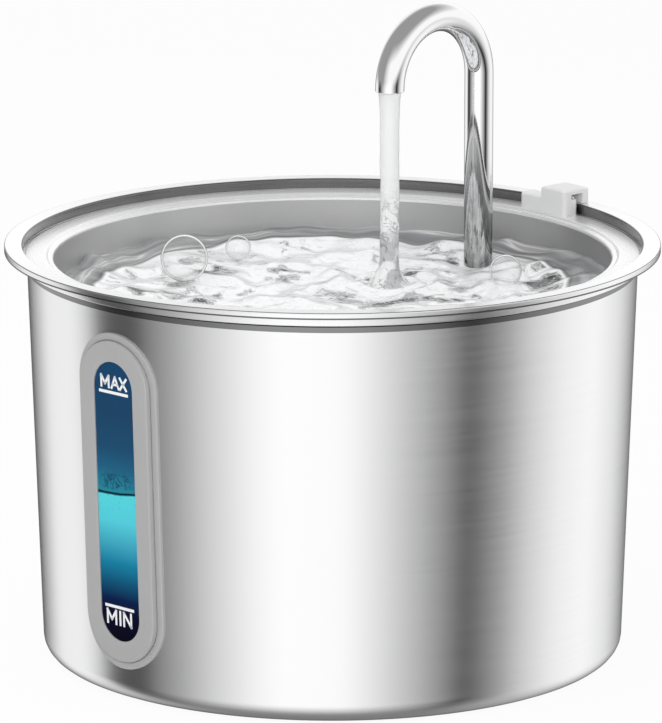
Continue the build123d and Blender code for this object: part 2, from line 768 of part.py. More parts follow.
def sector_openings(front, rear, inner):
    """Four open sectors round the pump's axis, between the hub and the inlet's edge."""
    openings = []
    for index in range(inlet_sectors):
        start = index * 360 / inlet_sectors - inlet_sector_angle / 2
        wedge = Circle(inlet_radius) - Circle(inner)
        far = 2 * inlet_radius
        corners = [(far * math.cos(math.radians(start + turn)), far * math.sin(math.radians(start + turn)))
                   for turn in (0, inlet_sector_angle)]
        wedge &= make_face(Polyline((0, 0), corners[0], corners[1], close=True))
        place = Plane((0, front, rotor_axis_height), x_dir=(1, 0, 0), z_dir=(0, 1, 0))
        openings.append(place * extrude(wedge, rear - front))
    return openings


def make_pump_cover():
    rear = volute_rear + pump_cover_thickness
    hub_radius = bush_radius + cover_hub_wall
    cover = ring_along_y(volute_radius, 0, volute_rear, rear, rotor_axis_height)
    for opening in sector_openings(volute_rear, rear, hub_radius):
        cover -= opening
    cover += ring_along_y(hub_radius, bush_radius, volute_rear - bush_length, volute_rear, rotor_axis_height)
    pivot_end = rear + adjuster_gap + adjuster_thickness
    return cover + ring_along_y(adjuster_pivot_radius, 0, rear, pivot_end, rotor_axis_height)


def make_adjuster():
    front = volute_rear + pump_cover_thickness + adjuster_gap
    rear = front + adjuster_thickness
    disc = ring_along_y(adjuster_radius, 0, front, rear, rotor_axis_height)
    for opening in sector_openings(front, rear, bush_radius + cover_hub_wall):
        disc -= opening
    bar = Pos(0, rear + adjuster_knob_height / 2, rotor_axis_height) * Rot(0, 45, 0) * Box(
        adjuster_knob_length, adjuster_knob_height, adjuster_knob_width
    )
    pivot_hole = adjuster_pivot_radius + adjuster_pivot_clearance
    return disc + bar - ring_along_y(pivot_hole, 0, front, rear, rotor_axis_height)


def make_shaft():
    return ring_along_y(shaft_radius, 0, well_front, volute_rear, rotor_axis_height)


def make_bushes():
    return [
        ring_along_y(bush_radius, shaft_radius, front, front + bush_length, rotor_axis_height)
        for front in (well_front, volute_rear - bush_length)
    ]


def make_impeller():
    disc_rear = impeller_front + impeller_disc_thickness
    vane_rear = disc_rear + impeller_vane_height
    wheel = ring_along_y(impeller_radius, 0, impeller_front, disc_rear, rotor_axis_height)
    hub_rear = disc_rear + impeller_hub_length
    wheel += ring_along_y(impeller_hub_radius, 0, disc_rear, hub_rear, rotor_axis_height)
    for index in range(impeller_vane_count):
        turn = index * 360 / impeller_vane_count
        vane = Pos((impeller_hub_radius + impeller_radius) / 2, (disc_rear + vane_rear) / 2, 0) * Box(
            impeller_radius, impeller_vane_height, impeller_vane_thickness
        )
        wheel += Pos(0, 0, rotor_axis_height) * Rot(0, turn, 0) * vane
    wheel &= ring_along_y(impeller_radius, 0, impeller_front, vane_rear, rotor_axis_height)
    wheel += ring_along_y(rotor_stem_radius, 0, rotor_front, impeller_front, rotor_axis_height)
    bore = shaft_radius + shaft_bore_clearance
    return wheel - ring_along_y(bore, 0, rotor_front, volute_rear, rotor_axis_height)


def make_riser():
    riser = ring(riser_radius, 0, riser_bottom, riser_top, 0, spout_offset)
    riser -= ring(waterway_radius, 0, riser_bottom, riser_top, 0, spout_offset)
    riser -= ring(nozzle_radius, 0, riser_bottom, nozzle_top, 0, spout_offset)
    return riser - ring(sleeve_radius + spin_clearance, 0, sleeve_bottom - riser_socket_gap, riser_top,
                        0, spout_offset)


def make_foam():
    front = box_front + box_wall + foam_clearance
    rear = motor_front - foam_clearance
    width = box_length - 2 * box_corner_radius
    return pump_block(width, front, rear, box_floor_top, box_floor_top + foam_height)


os.makedirs("parts", exist_ok=True)

save("bucket", make_bucket())
save("rubber_feet", *make_feet())
save("window_bezel", make_bezel())
save("window_pane", make_pane())
save("window_gasket", make_gasket())
save("window_retainer", make_retainer())
save("window_screws", *make_window_screws())

save("tray", make_tray())
save("spout_grommet", make_grommet())
save("spout_tube", make_spout_tube())
save("spout_sleeve", make_spout_sleeve())
save("cord_clip", make_clip())

save("filter_box", make_box())
save("prefilter_foam", make_foam())
save("filter_box_lid", make_lid())
save("cartridge_frame", make_cartridge_frame())
carbon_bottom = box_shelf_height + cartridge_floor
save("carbon_pad", media_pad(carbon_bottom, carbon_thickness))
save("cotton_pad", media_pad(carbon_bottom + carbon_thickness, cotton_thickness))

save("pump_housing", make_pump_housing())
save("pump_potting_cap", make_potting_cap())
save("pump_core", make_core())
save("pump_coil", make_coil())
save("pump_cable_gland", make_gland())
save("pump_suction_cups", *make_suction_cups())
save("pump_cover", make_pump_cover())
save("pump_shaft", make_shaft())
save("shaft_bushes", *make_bushes())
save("impeller", make_impeller())
save("rotor_magnet", ring_along_y(rotor_radius, rotor_stem_radius, rotor_front, rotor_front + rotor_length,
                                  rotor_axis_height))
save("flow_adjuster", make_adjuster())
save("riser_tube", make_riser())
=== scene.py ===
import math

import bpy
import numpy as np
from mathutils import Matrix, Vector


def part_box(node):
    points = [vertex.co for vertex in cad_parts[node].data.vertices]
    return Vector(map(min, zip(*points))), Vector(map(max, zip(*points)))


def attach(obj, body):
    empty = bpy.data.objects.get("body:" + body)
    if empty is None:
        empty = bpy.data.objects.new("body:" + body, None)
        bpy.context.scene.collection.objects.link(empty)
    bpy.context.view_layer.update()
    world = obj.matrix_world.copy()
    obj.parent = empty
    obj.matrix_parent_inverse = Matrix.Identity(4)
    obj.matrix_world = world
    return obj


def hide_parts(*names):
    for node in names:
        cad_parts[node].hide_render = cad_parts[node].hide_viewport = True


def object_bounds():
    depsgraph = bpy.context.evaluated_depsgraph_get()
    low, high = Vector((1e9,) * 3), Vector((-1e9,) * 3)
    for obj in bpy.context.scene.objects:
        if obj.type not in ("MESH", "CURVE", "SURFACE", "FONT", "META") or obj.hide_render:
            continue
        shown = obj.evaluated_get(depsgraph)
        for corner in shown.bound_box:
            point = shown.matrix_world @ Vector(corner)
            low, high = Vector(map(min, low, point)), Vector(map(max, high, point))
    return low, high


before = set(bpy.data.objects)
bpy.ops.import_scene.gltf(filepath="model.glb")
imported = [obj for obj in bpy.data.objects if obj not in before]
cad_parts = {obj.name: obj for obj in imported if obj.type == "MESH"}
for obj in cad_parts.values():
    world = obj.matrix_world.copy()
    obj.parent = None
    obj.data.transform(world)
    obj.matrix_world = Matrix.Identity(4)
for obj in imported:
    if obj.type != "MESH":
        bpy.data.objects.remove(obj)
cadLow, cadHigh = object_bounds()
print("frame loaded")

mm = 0.001
# sizes from here on are in millimetres, and points are turned into metres as each mesh is made
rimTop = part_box("bucket")[1].z / mm
rimRadius = 105.0
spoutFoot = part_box("spout_tube")[0].z / mm
spoutRear = 68.4  # how far behind the middle the spout's rear leg stands


def addPiece(name, points, faces, material, smooth=True, sharpAngle=35):
    # points: an n by 3 array in metres; faces: lists of corner numbers, counter-clockwise seen from outside
    mesh = bpy.data.meshes.new(name)
    mesh.from_pydata(np.asarray(points, float).tolist(), [], [list(map(int, f)) for f in faces])
    mesh.validate()
    if smooth:
        mesh.shade_smooth()
        mesh.set_sharp_from_angle(angle=math.radians(sharpAngle))
    piece = bpy.data.objects.new(name, mesh)
    bpy.context.scene.collection.objects.link(piece)
    piece.data.materials.append(material)
    return piece


def gridQuads(rows, columns, closeRows=False, closeColumns=True):
    # corner numbers of the quads of a rows by columns grid of points, wrapped where asked
    r = np.arange(rows if closeRows else rows - 1)
    c = np.arange(columns if closeColumns else columns - 1)
    r, c = np.meshgrid(r, c, indexing="ij")
    nextR, nextC = (r + 1) % rows, (c + 1) % columns
    quads = np.stack([r * columns + c, r * columns + nextC, nextR * columns + nextC, nextR * columns + c], -1)
    return quads.reshape(-1, 4)


def roundedPath(points, radii, steps=7, support=0.4):
    # a polyline whose corners are arcs of the given radii, with a support point beside each arc on long runs
    points = np.asarray(points, float)
    path = [points[0]]
    for corner, radius in zip(range(1, len(points) - 1), radii):
        before, here, after = points[corner - 1], points[corner], points[corner + 1]
        a = (before - here) / np.linalg.norm(before - here)
        b = (after - here) / np.linalg.norm(after - here)
        half = math.acos(np.clip(a @ b, -1, 1)) / 2
        reach = radius / math.tan(half)
        centre = here + (a + b) / np.linalg.norm(a + b) * radius / math.sin(half)
        start, end = here + a * reach, here + b * reach
        t = np.linspace(0, 1, steps)[:, None]
        turn = math.pi - 2 * half
        shares = np.sin((1 - t) * turn), np.sin(t * turn)
        arc = centre + ((start - centre) * shares[0] + (end - centre) * shares[1]) / math.sin(turn)
        if np.linalg.norm(start - path[-1]) > 3 * support:
            path.append(start + a * support)
        path.extend(arc)
        if np.linalg.norm(after - end) > 3 * support:
            path.append(end + b * support)
    path.append(points[-1])
    return np.array(path)


def withPoints(path, points):
    # puts each point into the run of the path that it lies on
    for point in np.asarray(points, float):
        run = path[1:] - path[:-1]
        share = ((point - path[:-1]) * run).sum(1) / (run ** 2).sum(1)
        gap = np.linalg.norm(path[:-1] + np.clip(share, 0, 1)[:, None] * run - point, axis=1)
        path = np.insert(path, gap.argmin() + 1, point, axis=0)
    return path


def sheetSection(path, thickness):
    # the path followed out and, moved sideways by the thickness, back again: the section of a bent sheet
    along = np.gradient(path, axis=0)
    along /= np.linalg.norm(along, axis=1)[:, None]
    left = np.stack([-along[:, 1], along[:, 0]], -1)
    return np.vstack([path, (path + left * thickness)[::-1]])


def ringFans(lowCentre, topCentre, topRing, turns):
    # triangles that close the first and the last ring of a grid on two middle points
    c = np.arange(turns)
    n = (c + 1) % turns
    return (np.stack([np.full(turns, lowCentre), n, c], -1).tolist()
            + np.stack([np.full(turns, topCentre), topRing + c, topRing + n], -1).tolist())


def turnedSolid(section, turns=256, centre=(0.0, 0.0)):
    # each (radius, height) of an open section carried round an upright line, its two ends closed on that line
    angle = np.arange(turns) * math.tau / turns
    inner = np.asarray(section, float)[1:-1]
    radius, height = inner[:, 0][:, None], inner[:, 1][:, None]
    points = np.stack([centre[0] + radius * np.cos(angle), centre[1] + radius * np.sin(angle),
                       height + 0 * angle], -1).reshape(-1, 3)
    first = len(points)
    points = np.vstack([points, [[*centre, section[0][1]], [*centre, section[-1][1]]]])
    faces = gridQuads(len(inner), turns).tolist() + ringFans(first, first + 1, first - turns, turns)
    return points, faces


def prism(outline, place):
    # an outline, counter-clockwise, between two heights; place turns (x, y, end number) into points
    count = len(outline)
    points = np.vstack([place(outline[:, 0], outline[:, 1], end) for end in (0, 1)])
    faces = gridQuads(2, count).tolist() + [list(range(count))[::-1], list(range(count, 2 * count))]
    return points, faces


def stacked(parts):
    # several sets of points and faces as one
    points, faces, first = [], [], 0
    for partPoints, partFaces in parts:
        points.append(partPoints)
        faces.extend([[corner + first for corner in face] for face in partFaces])
        first += len(partPoints)
    return np.vstack(points), faces


def upright(low, high):
    # a prism's place between two heights
    return lambda x, y, end: np.stack([x, y, low + (high - low) * end + 0 * x], -1) * mm


def circle(radius, x=0.0, y=0.0, steps=24):
    turn = np.arange(steps) * math.tau / steps
    return np.stack([x + radius * np.cos(turn), y + radius * np.sin(turn)], -1)


def cutAway(piece, cutters, sharpAngle=35):
    # takes closed cutter shapes out of a piece, worked into its own mesh
    cutter = addPiece("cutter", *stacked(cutters), piece.data.materials[0], smooth=False)
    modifier = piece.modifiers.new("cut", "BOOLEAN")
    modifier.operation, modifier.solver, modifier.object = "DIFFERENCE", "EXACT", cutter
    bpy.context.view_layer.update()
    cut = bpy.data.meshes.new_from_object(piece.evaluated_get(bpy.context.evaluated_depsgraph_get()))
    piece.modifiers.clear()
    piece.data = cut
    bpy.data.objects.remove(cutter)
    cut.shade_smooth()
    cut.set_sharp_from_angle(angle=math.radians(sharpAngle))


def paintFaces(piece, material, chosen):
    # the faces whose centre's radius and height, in millimetres, pass the test get the material
    mesh = piece.data
    centres = np.empty(len(mesh.polygons) * 3)
    mesh.polygons.foreach_get("center", centres)
    x, y, z = centres.reshape(-1, 3).T / mm
    marks = np.zeros(len(mesh.polygons), np.int32)
    mesh.polygons.foreach_get("material_index", marks)
    marks[chosen(np.hypot(x, y), z)] = len(mesh.materials)
    mesh.materials.append(material)
    mesh.polygons.foreach_set("material_index", marks)


def newMaterial(name, **sockets):
    material = bpy.data.materials.new(name)
    material.use_nodes = True
    shader = material.node_tree.nodes["Principled BSDF"]
    for key, value in sockets.items():
        shader.inputs[key.replace("_", " ")].default_value = value
    return material, shader, material.node_tree


def link(tree, source, target):
    tree.links.new(source, target)


def feed(tree, value, socket):
    # a plain number or tuple is set on the socket, and another socket is linked to it
    if isinstance(value, (int, float, tuple)):
        socket.default_value = value
    elif value is not None:
        link(tree, value, socket)


def mathNode(tree, operation, a, b=None, c=None, clamp=False):
    node = tree.nodes.new("ShaderNodeMath")
    node.operation = operation
    node.use_clamp = clamp
    for socket, value in zip(node.inputs, (a, b, c)):
        feed(tree, value, socket)
    return node.outputs[0]


def vectorNode(tree, operation, a, b=None, c=None, scale=None):
    node = tree.nodes.new("ShaderNodeVectorMath")
    node.operation = operation
    for socket, value in zip(node.inputs, (a, b, c)):
        feed(tree, value, socket)
    if scale is not None:
        feed(tree, scale, node.inputs["Scale"])
    return node.outputs["Value"] if operation == "LENGTH" else node.outputs[0]


def product(tree, *values):
    # all the values times one another
    total = values[0]
    for value in values[1:]:
        total = mathNode(tree, "MULTIPLY", total, value)
    return total


def spread(tree, value, start, over):
    # 0 where the value is the start, and 1 the given run further on, or further down where the run is negative
    return mathNode(tree, "DIVIDE", mathNode(tree, "SUBTRACT", value, start), over, clamp=True)


def lineAt(tree, value, place, halfWidth):
    # 1 where the value is the place, falling to 0 at the half width
    away = mathNode(tree, "ABSOLUTE", mathNode(tree, "SUBTRACT", value, place))
    return mathNode(tree, "SUBTRACT", 1.0, mathNode(tree, "DIVIDE", away, halfWidth), clamp=True)


def rampNode(tree, stops, value):
    # a colour ramp; each stop is a place and a colour, or a place and a grey
    ramp = tree.nodes.new("ShaderNodeValToRGB")
    ramp.color_ramp.interpolation = "LINEAR"
    while len(ramp.color_ramp.elements) < len(stops):
        ramp.color_ramp.elements.new(0.5)
    for element, (place, color) in zip(ramp.color_ramp.elements, stops):
        element.position = place
        element.color = (*color, 1) if isinstance(color, tuple) else (color, color, color, 1)
    link(tree, value, ramp.inputs[0])
    return ramp.outputs[0]


def mixColors(tree, factor, a, b):
    # a where the factor is 0, b where it is 1; each is a colour, a grey or a socket
    node = tree.nodes.new("ShaderNodeMix")
    node.data_type = "RGBA"
    feed(tree, factor, node.inputs["Factor"])
    for socket, value in (("A", a), ("B", b)):
        value = (value,) * 3 if isinstance(value, float) else value
        feed(tree, (*value, 1) if isinstance(value, tuple) else value, node.inputs[socket])
    return node.outputs["Result"]


def noiseNode(tree, vector, scale, detail=2.0, distortion=0.0, output="Fac"):
    noise = tree.nodes.new("ShaderNodeTexNoise")
    for socket, value in (("Vector", vector), ("Scale", scale), ("Detail", detail), ("Distortion", distortion)):
        feed(tree, value, noise.inputs[socket])
    return noise.outputs[output]


def objectPlace(tree):
    # the object coordinates, whole, and then their x, y and z
    coords = tree.nodes.new("ShaderNodeTexCoord").outputs["Object"]
    parts = tree.nodes.new("ShaderNodeSeparateXYZ")
    link(tree, coords, parts.inputs[0])
    return (coords, *parts.outputs)


def combined(tree, *values):
    node = tree.nodes.new("ShaderNodeCombineXYZ")
    for socket, value in zip(node.inputs, values):
        feed(tree, value, socket)
    return node.outputs[0]


def roundPlace(tree, x, y, leastRadius=0.5 * mm):
    # the distance from the Z axis, and the direction from it as x / distance and y / distance
    squares = mathNode(tree, "ADD", product(tree, x, x), product(tree, y, y))
    radius = mathNode(tree, "SQRT", squares)
    safe = mathNode(tree, "MAXIMUM", radius, leastRadius)
    return radius, mathNode(tree, "DIVIDE", x, safe), mathNode(tree, "DIVIDE", y, safe)


def addBump(tree, shader, height, strength, distance):
    bump = tree.nodes.new("ShaderNodeBump")
    feed(tree, strength, bump.inputs["Strength"])
    feed(tree, distance, bump.inputs["Distance"])
    link(tree, height, bump.inputs["Height"])
    link(tree, bump.outputs["Normal"], shader.inputs["Normal"])


def makeGroup(name, inputs, outputs):
    tree = bpy.data.node_groups.new(name, "ShaderNodeTree")
    for socketName, kind, value in inputs:
        socket = tree.interface.new_socket(socketName, in_out="INPUT", socket_type=kind)
        if value is not None:
            socket.default_value = value
    for socketName, kind in outputs:
        tree.interface.new_socket(socketName, in_out="OUTPUT", socket_type=kind)
    return tree, tree.nodes.new("NodeGroupInput"), tree.nodes.new("NodeGroupOutput")


def placeGroup(material, tree, **values):
    node = material.node_tree.nodes.new("ShaderNodeGroup")
    node.node_tree = tree
    for key, value in values.items():
        node.inputs[key.replace("_", " ")].default_value = value
    return node


def makeFinishGroup(name, tone, depth, roughness, lastInput):
    # an empty group with the inputs and outputs that the brushed and the moulded finish share
    return makeGroup(
        name,
        [("Tone", "NodeSocketColor", (tone, tone, tone, 1)), ("Tone Depth", "NodeSocketFloat", depth),
         ("Roughness", "NodeSocketFloat", roughness), (lastInput[0], "NodeSocketFloat", lastInput[1])],
        [("Color", "NodeSocketColor"), ("Roughness", "NodeSocketFloat"), ("Height", "NodeSocketFloat")])


def finishGroup(tree, start, end, shade, gloss, glossSpread, height):
    # colour: tone times one plus the shade's share; roughness: its own value plus the gloss's share
    factor = mathNode(tree, "MULTIPLY_ADD", shade, start.outputs["Tone Depth"], 1.0)
    link(tree, vectorNode(tree, "SCALE", start.outputs["Tone"], scale=factor), end.inputs["Color"])
    roughness = mathNode(tree, "MULTIPLY_ADD", gloss, glossSpread, start.outputs["Roughness"])
    link(tree, roughness, end.inputs["Roughness"])
    link(tree, height, end.inputs["Height"])
    return tree


# each layer of brush marks: its stretch round the axis, its squeeze across, and its share
brushLook = {"layers": ((3.2, 1.0, 0.65), (1.4, 0.13, 0.35)), "detail": 3.0, "glossSpread": 0.12}
grainLook = {"broad": 0.06, "detail": 4.0, "glossSpread": 0.2}


def makeBrushMarks(s):
    # fine marks running round the Z axis: noise over (x / r, y / r) stretched, and height plus radius squeezed
    tree, start, end = makeFinishGroup("roundBrushMarks", 0.8, 0.05, 0.3, ("Marks per metre", 5200.0))
    x, y, z = objectPlace(tree)[1:]
    radius, alongX, alongY = roundPlace(tree, x, y)
    across = product(tree, mathNode(tree, "ADD", z, radius), start.outputs["Marks per metre"])
    layers = []
    for stretch, squeeze, share in s["layers"]:
        place = combined(tree, product(tree, alongX, stretch), product(tree, alongY, stretch),
                         product(tree, across, squeeze))
        layers.append(product(tree, noiseNode(tree, place, 1.0, s["detail"]), share))
    mixed = mathNode(tree, "ADD", *layers)
    centred = mathNode(tree, "SUBTRACT", mixed, 0.5)
    return finishGroup(tree, start, end, centred, centred, s["glossSpread"], mixed)


def makeMouldGrain(s):
    # the faint mottling and fine pitting of a moulded surface: a fine noise and a broad one, each centred on zero
    tree, start, end = makeFinishGroup("mouldGrain", 0.5, 0.06, 0.4, ("Grain", 900.0))
    coords = objectPlace(tree)[0]
    scales = [product(tree, start.outputs["Grain"], share) for share in (1.0, s["broad"])]
    fine, broad = [mathNode(tree, "SUBTRACT", noiseNode(tree, coords, scale, s["detail"]), 0.5) for scale in scales]
    return finishGroup(tree, start, end, mathNode(tree, "ADD", fine, broad), broad, s["glossSpread"], fine)


def makeBentLines():
    # thin bent lines: a warped noise, and a mask that is 1 where the noise comes to the place
    numbers = (("Scale", 260.0), ("Detail", 2.0), ("Distortion", 1.2), ("Place", 0.5), ("Half Width", 0.03))
    tree, start, end = makeGroup(
        "bentLines",
        [("Vector", "NodeSocketVector", None)] + [(name, "NodeSocketFloat", value) for name, value in numbers],
        [("Noise", "NodeSocketFloat"), ("Line", "NodeSocketFloat")])
    vector, scale, detail, distortion, place, halfWidth = start.outputs[:6]
    noise = noiseNode(tree, vector, scale, detail, distortion)
    link(tree, noise, end.inputs["Noise"])
    link(tree, lineAt(tree, noise, place, halfWidth), end.inputs["Line"])
    return tree


brushMarks = makeBrushMarks(brushLook)
mouldGrain = makeMouldGrain(grainLook)
bentLines = makeBentLines()


def placeLines(material, vector, scale, detail, distortion, place, halfWidth):
    # the bent lines over a vector: their noise and their mask
    node = placeGroup(material, bentLines, Scale=scale, Detail=detail, Distortion=distortion, Place=place,
                      Half_Width=halfWidth)
    link(material.node_tree, vector, node.inputs["Vector"])
    return node.outputs["Noise"], node.outputs["Line"]


def finishedWith(group, name, bumpStrength, bumpDistance, groupValues, **sockets):
    # a material whose colour, roughness and fine relief come from the brushed or the moulded group
    material, shader, tree = newMaterial(name, **sockets)
    marks = placeGroup(material, group, **groupValues)
    link(tree, marks.outputs["Color"], shader.inputs["Base Color"])
    link(tree, marks.outputs["Roughness"], shader.inputs["Roughness"])
    addBump(tree, shader, marks.outputs["Height"], bumpStrength, bumpDistance)
    return material


def steel(name, tone, roughness, depth=0.035, marks=5200.0, bump=0.05, anisotropic=0.8, metallic=1.0):
    # marks run round the Z axis, so the gloss spreads across them
    return finishedWith(brushMarks, name, bump, 0.01 * mm,
                        {"Tone": (tone, tone, tone * 1.004, 1), "Tone_Depth": depth,
                         "Roughness": roughness, "Marks_per_metre": marks},
                        Metallic=metallic, Anisotropic=anisotropic, Anisotropic_Rotation=0.25)


def moulded(name, color, roughness, depth=0.05, grain=900.0, bump=0.1, **sockets):
    return finishedWith(mouldGrain, name, bump, 0.05 * mm,
                        {"Tone": (*color, 1), "Tone_Depth": depth, "Roughness": roughness, "Grain": grain},
                        **sockets)


bucketSteel = steel("bucketSteel", 0.90, 0.24, depth=0.09)
# darker steels that paint shade and dark reflection into bands: the collar's inside, the ledge's crease, the wall
# under it and the lip's edges
collarShadeSteel = steel("collarShadeSteel", 0.20, 0.22, depth=0.8, marks=2600.0)
neckShadeSteel = steel("neckShadeSteel", 0.26, 0.24)
creaseShadeSteel = steel("creaseShadeSteel", 0.012, 0.5)
lipShadeLineSteel = steel("lipShadeLineSteel", 0.16, 0.3)
traySteel = steel("traySteel", 0.92, 0.28, metallic=0.55)
# the well's inside in a darker steel: painted shade
wellShadeSteel = steel("wellShadeSteel", 0.60, 0.36)
bezelPlastic = moulded("bezelPlastic", (0.43, 0.43, 0.43), 0.36, depth=0.03)
markPaint = moulded("markPaint", (0.92, 0.93, 0.94), 0.45, depth=0.02)
# what the CAD's own nodes wear: the finish, its name, tone or colour, roughness, its other values, and the nodes
cadFinishes = (
    (steel, "screwSteel", 0.62, 0.3, {}, "window_screws"),
    (steel, "shaftSteel", 0.75, 0.15, {}, "pump_shaft"),
    (moulded, "whitePlastic", (0.80, 0.80, 0.80), 0.35, {"depth": 0.02},
     "window_retainer spout_sleeve cord_clip cartridge_frame"),
    (moulded, "boxPlastic", (0.74, 0.76, 0.77), 0.3, {"depth": 0.03}, "filter_box filter_box_lid"),
    (moulded, "clearSilicone", (0.70, 0.72, 0.72), 0.5, {"Subsurface_Weight": 0.1},
     "window_gasket spout_grommet pump_suction_cups riser_tube"),
    (moulded, "blackRubber", (0.025, 0.025, 0.027), 0.7, {"depth": 0.3},
     "rubber_feet pump_cable_gland shaft_bushes"),
    (moulded, "pumpPlastic", (0.045, 0.045, 0.05), 0.45, {"depth": 0.2}, "pump_housing pump_cover"),
    (moulded, "pottingResin", (0.02, 0.02, 0.02), 0.2, {"depth": 0.2, "grain": 200.0}, "pump_potting_cap"),
    (moulded, "coreIron", (0.25, 0.25, 0.26), 0.5, {"grain": 1500.0, "Metallic": 0.8}, "pump_core"),
    (moulded, "coilCopper", (0.60, 0.30, 0.14), 0.35, {"grain": 1200.0, "Metallic": 0.9}, "pump_coil"),
    (moulded, "impellerPlastic", (0.85, 0.85, 0.85), 0.3, {}, "impeller"),
    (moulded, "magnetFerrite", (0.07, 0.07, 0.08), 0.55, {"depth": 0.3}, "rotor_magnet"),
    (moulded, "adjusterPlastic", (0.25, 0.27, 0.30), 0.4, {}, "flow_adjuster"),
    (moulded, "filterFoam", (0.035, 0.035, 0.04), 0.95, {"depth": 1.2, "grain": 700.0, "bump": 1.0},
     "prefilter_foam"),
    (moulded, "carbonFelt", (0.04, 0.04, 0.045), 0.9, {"depth": 1.0, "grain": 1100.0, "bump": 0.8}, "carbon_pad"),
    (moulded, "cottonFelt", (0.84, 0.84, 0.82), 0.95, {"depth": 0.12, "grain": 600.0, "bump": 0.8}, "cotton_pad"),
)
for finish, name, color, roughness, values, nodeNames in cadFinishes:
    material = finish(name, color, roughness, **values)
    for nodeName in nodeNames.split():
        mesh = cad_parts[nodeName].data
        mesh.materials.clear()
        mesh.materials.append(material)
print("materials made")


windowSizes = {
    "height": 66.0, "flangeWidth": 34.2, "flangeLength": 108.9, "flangeThickness": 0.7, "flangeEdge": 0.3,
    "faceWidth": 29.5, "faceLength": 104.2, "faceProud": 1.3, "faceEdge": 0.4, "paneWidth": 17.1,
    "paneLength": 90.7, "paneProud": 0.9, "paneEdge": 0.2, "slotWidth": 15.7, "slotLength": 89.1,
    # the groove between the two steps: its width, its depth, and its eased edge as (outward, down) steps
    "grooveWidth": 0.2, "grooveDepth": 0.5, "grooveEdge": ((0.12, 0.0), (0.04, 0.04), (0.0, 0.5)),
    # the pane's eased front edge as (inset, down), and how far the flange and the pane stand off the wall
    "paneBevel": ((0.1, 0.12), (0.3, 0.0)), "wallGap": 0.02, "paneGap": 0.1,
}
bucketSizes = {
    "sheet": 0.7, "lipDrop": 2.05, "collarRadius": 99.9, "ledgeDrop": 5.5, "wallTopRadius": 97.8,
    "wallBaseRadius": 93.35, "footProud": 0.6, "dishRise": 1.6, "dishRadius": 74.0, "dishSlope": 2.5,
    # bend radii from the dish out to the lip, and how square the lip's outer corner is
    "bends": (1.5, 1.5, 6.0, 0.3, 0.5, 0.01, 0.01), "squareness": 0.35, "slotCut": (-5.0, 2.0),
    # where bands of shade end, down from the rim on the lip's, the collar's and the wall's radius
    "bandEdges": (("lip", -1.55), ("collar", -3.3), ("wall", -6.05), ("wall", -7.8)),
    # each band of painted shade: its darker steel, the radius it is measured from, how far in and out, and how far
    # from the rim
    "bands": (
        (collarShadeSteel, "collar", (-0.9, -0.4), (-3.3, -0.12)),
        (lipShadeLineSteel, "lip", (-0.1, 9.0), (-9.0, -1.55)),
        (lipShadeLineSteel, "lip", (0.2, 9.0), (-0.2, -0.015)),
        (creaseShadeSteel, "wall", (-0.2, 9.0), (-6.05, -5.25)),
        (neckShadeSteel, "wall", (-0.2, 9.0), (-7.8, -6.05)),
    ),
}
wallHeight = rimTop - bucketSizes["ledgeDrop"] - bucketSizes["footProud"]
wallLean = math.atan2(bucketSizes["wallTopRadius"] - bucketSizes["wallBaseRadius"], wallHeight)


def wallRadius(height):
    return bucketSizes["wallBaseRadius"] + (height - bucketSizes["footProud"]) * math.tan(wallLean)


def onWall(across, along, proud):
    # window coordinates to the frame: across to +X, along up the leaning wall, proud out of it
    c, s = math.cos(wallLean), math.sin(wallLean)
    y = -wallRadius(windowSizes["height"]) - along * s - proud * c
    z = windowSizes["height"] + along * c - proud * s
    return np.stack([across + 0 * y, y, z + 0 * across], -1) * mm


def wallBack(across, along, proud):
    # the height over the window's flat plane of a round surface that lies this far outside the wall
    radius = wallRadius(windowSizes["height"] + along)
    return (np.sqrt((radius + proud) ** 2 - across ** 2) - radius) * math.cos(wallLean)


def slotOutline(width, length, steps=28, sides=16):
    # a slot's outline, counter-clockwise seen from the front: two half circles joined by straight sides
    half, run = width / 2, (length - width) / 2
    turn = np.linspace(0, math.pi, steps)
    upper = np.stack([half * np.cos(turn), run + half * np.sin(turn)], -1)
    lower = np.stack([-half * np.cos(turn), -run - half * np.sin(turn)], -1)
    side = np.linspace(0, 1, sides)[1:-1, None]
    left = upper[-1] + (lower[0] - upper[-1]) * side
    right = lower[-1] + (upper[0] - lower[-1]) * side
    return np.vstack([upper, left, lower, right])


